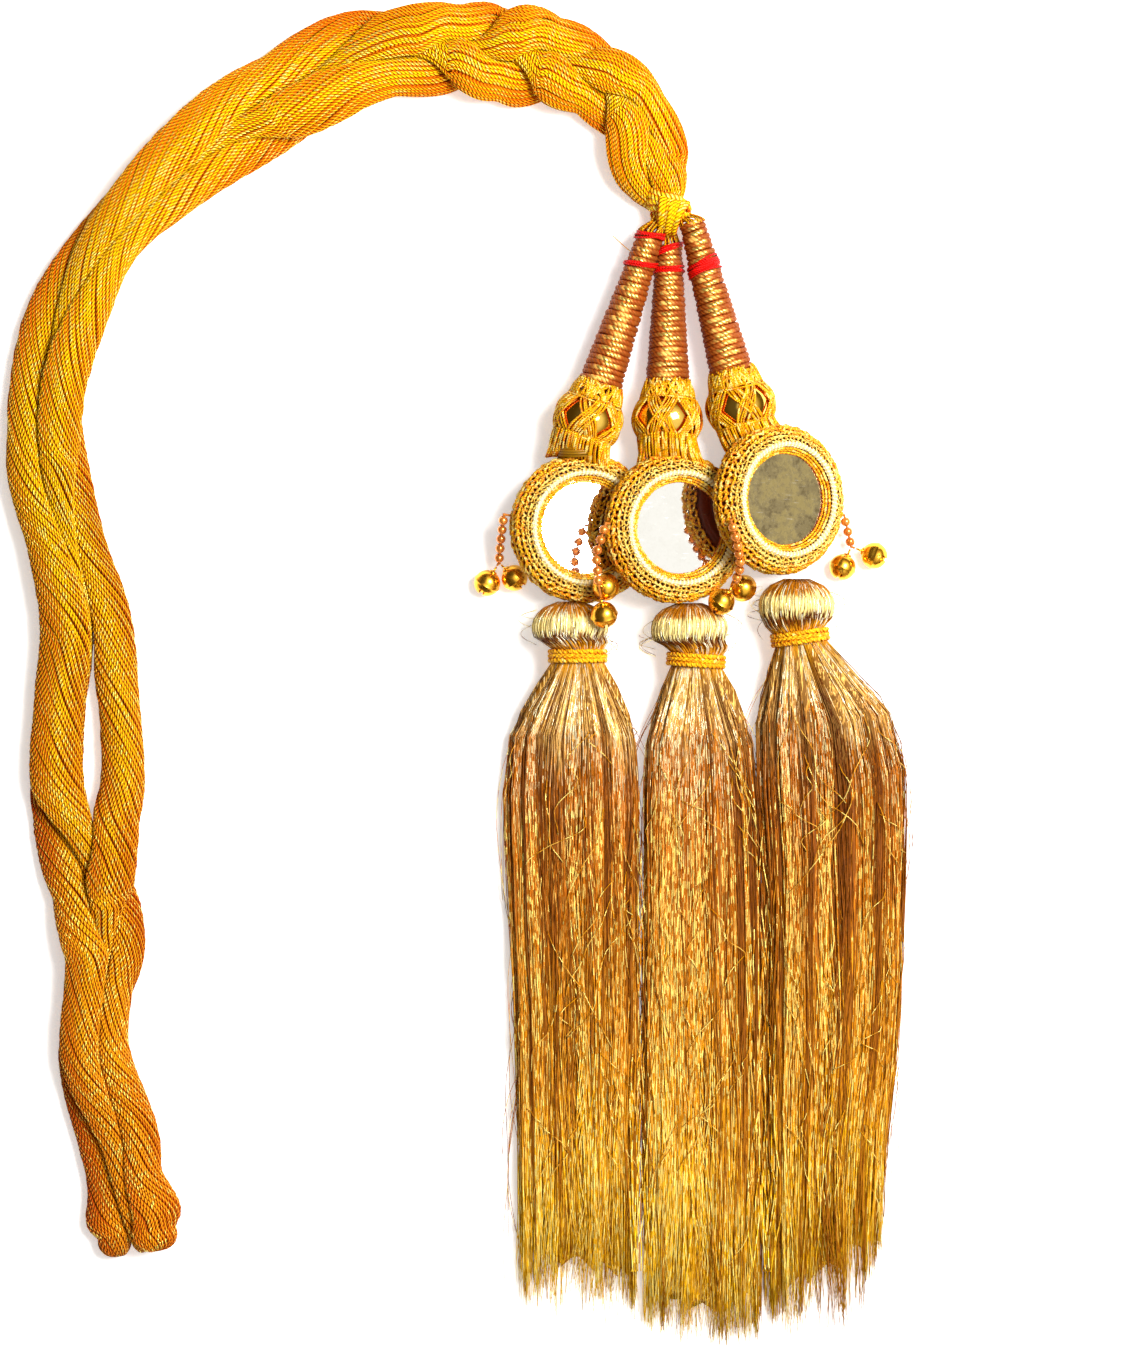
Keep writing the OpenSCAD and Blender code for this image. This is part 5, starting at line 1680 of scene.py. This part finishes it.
# Middle of the photographed field on the floor, and its height, in metres
FIELD_CENTRE, FIELD_HEIGHT = (0.0278, -0.00135), 0.337
# Height at which the lens fills the frame with that field, width of the camera's sensor, half the floor
SUBJECT_LEVEL, SENSOR, FLOOR_HALF = 0.008, 36.0, 3.0


class PARANDA_OT_stage(bpy.types.Operator):
    """Set the floor, the soft lights and the camera"""
    bl_idname = "paranda.stage"
    bl_label = "Stage"

    def execute(self, context):
        settings = context.scene.paranda_stage
        scene = context.scene
        scene.view_settings.view_transform = "Standard"
        mesh = bpy.data.meshes.new("floor")
        corners = [(x * FLOOR_HALF, y * FLOOR_HALF, 0) for x, y in ((-1, -1), (1, -1), (1, 1), (-1, 1))]
        mesh.from_pydata(corners, [], [(0, 1, 2, 3)])
        floor = bpy.data.objects.new("floor", mesh)
        scene.collection.objects.link(floor)
        f = Finish("floor_white")
        grain = f.noise(f.position(), 900.0, 3.0)
        floor.data.materials.append(f.surface({
            "Base Color": f.blend(grain, linear(247, 247, 250), linear(251, 251, 253)),
            "Roughness": 0.9,
            "Emission Color": (1.0, 1.0, 1.0),
            "Emission Strength": settings.floor_glow,
            "Normal": f.bump(grain, 0.05),
        }))
        self.add_light(scene, "key", (0.6, 0.28, 1.12), 0.5, settings.key_power, (1.0, 0.98, 0.95))
        self.add_sky(scene, settings.sky_strength)
        camera = bpy.data.cameras.new("camera")
        camera.sensor_width = SENSOR
        camera.lens = SENSOR * (settings.camera_height - SUBJECT_LEVEL) / FIELD_HEIGHT
        camera.clip_end = 20
        eye = bpy.data.objects.new("camera", camera)
        eye.location = (*FIELD_CENTRE, settings.camera_height)
        scene.collection.objects.link(eye)
        scene.camera = eye
        return {"FINISHED"}

    @staticmethod
    def add_light(scene, name, place, size, power, colour):
        lamp = bpy.data.lights.new(name, "AREA")
        lamp.size = size
        lamp.energy = power
        lamp.color = colour
        light = bpy.data.objects.new(name, lamp)
        light.location = place
        light.rotation_euler = (Vector((0, 0, 0)) - Vector(place)).to_track_quat("-Z", "Y").to_euler()
        scene.collection.objects.link(light)

    @staticmethod
    def add_sky(scene, strength):
        world = bpy.data.worlds.new("studio")
        world.use_nodes = True
        scene.world = world
        f = Finish("studio", world.node_tree)
        way = f.node("ShaderNodeTexCoord", None, None, "Generated")
        across = f.part(way, 0)
        level = f.part(way, 2) + across * 0.12
        colour = f.ramp(level, [(0.0, (0.07, 0.04, 0.01)), (0.35, (0.17, 0.12, 0.05)),
                                (0.5, (0.46, 0.36, 0.15)), (0.72, (0.97, 0.96, 0.93)),
                                (1.0, (1.0, 1.0, 1.0))])
        dark_side = (1 - across.step(-0.12, 0.08)) * (1 - level.step(0.88, 0.995)) * 0.94
        colour = f.blend(dark_side, colour, (0.06, 0.04, 0.015))
        back = f.node("ShaderNodeBackground", None, {"Color": colour, "Strength": strength})
        f.node("ShaderNodeOutputWorld", None, {"Surface": back})


class PARANDA_PT_panel(bpy.types.Panel):
    """Lists the pieces of the paranda"""
    bl_idname = "PARANDA_PT_panel"
    bl_label = "Paranda"
    bl_space_type = "VIEW_3D"
    bl_region_type = "UI"
    bl_category = "Paranda"

    def draw(self, context):
        for operator in OPERATORS:
            self.layout.operator(operator.bl_idname)


SETTINGS = {
    "paranda_hank": HankSettings,
    "paranda_stems": StemSettings,
    "paranda_beads": BeadSettings,
    "paranda_medallions": MedallionSettings,
    "paranda_drops": DropSettings,
    "paranda_tassels": TasselSettings,
    "paranda_stage": StageSettings,
}
OPERATORS = [PARANDA_OT_stage, PARANDA_OT_hank, PARANDA_OT_stems, PARANDA_OT_beads, PARANDA_OT_medallions,
             PARANDA_OT_drops, PARANDA_OT_tassels]


def register():
    for group in SETTINGS.values():
        bpy.utils.register_class(group)
    for kind in [*OPERATORS, PARANDA_PT_panel]:
        bpy.utils.register_class(kind)
    for name, group in SETTINGS.items():
        setattr(bpy.types.Scene, name, bpy.props.PointerProperty(type=group))


def unregister():
    for name in SETTINGS:
        delattr(bpy.types.Scene, name)
    for kind in [PARANDA_PT_panel, *reversed(OPERATORS), *reversed(SETTINGS.values())]:
        bpy.utils.unregister_class(kind)


def main():
    """Makes every piece."""
    register()
    bpy.ops.paranda.stage()
    bpy.ops.paranda.hank()
    bpy.ops.paranda.stems()
    bpy.ops.paranda.beads()
    bpy.ops.paranda.medallions()
    bpy.ops.paranda.drops()
    bpy.ops.paranda.tassels()


if __name__ == "__main__":
    main()
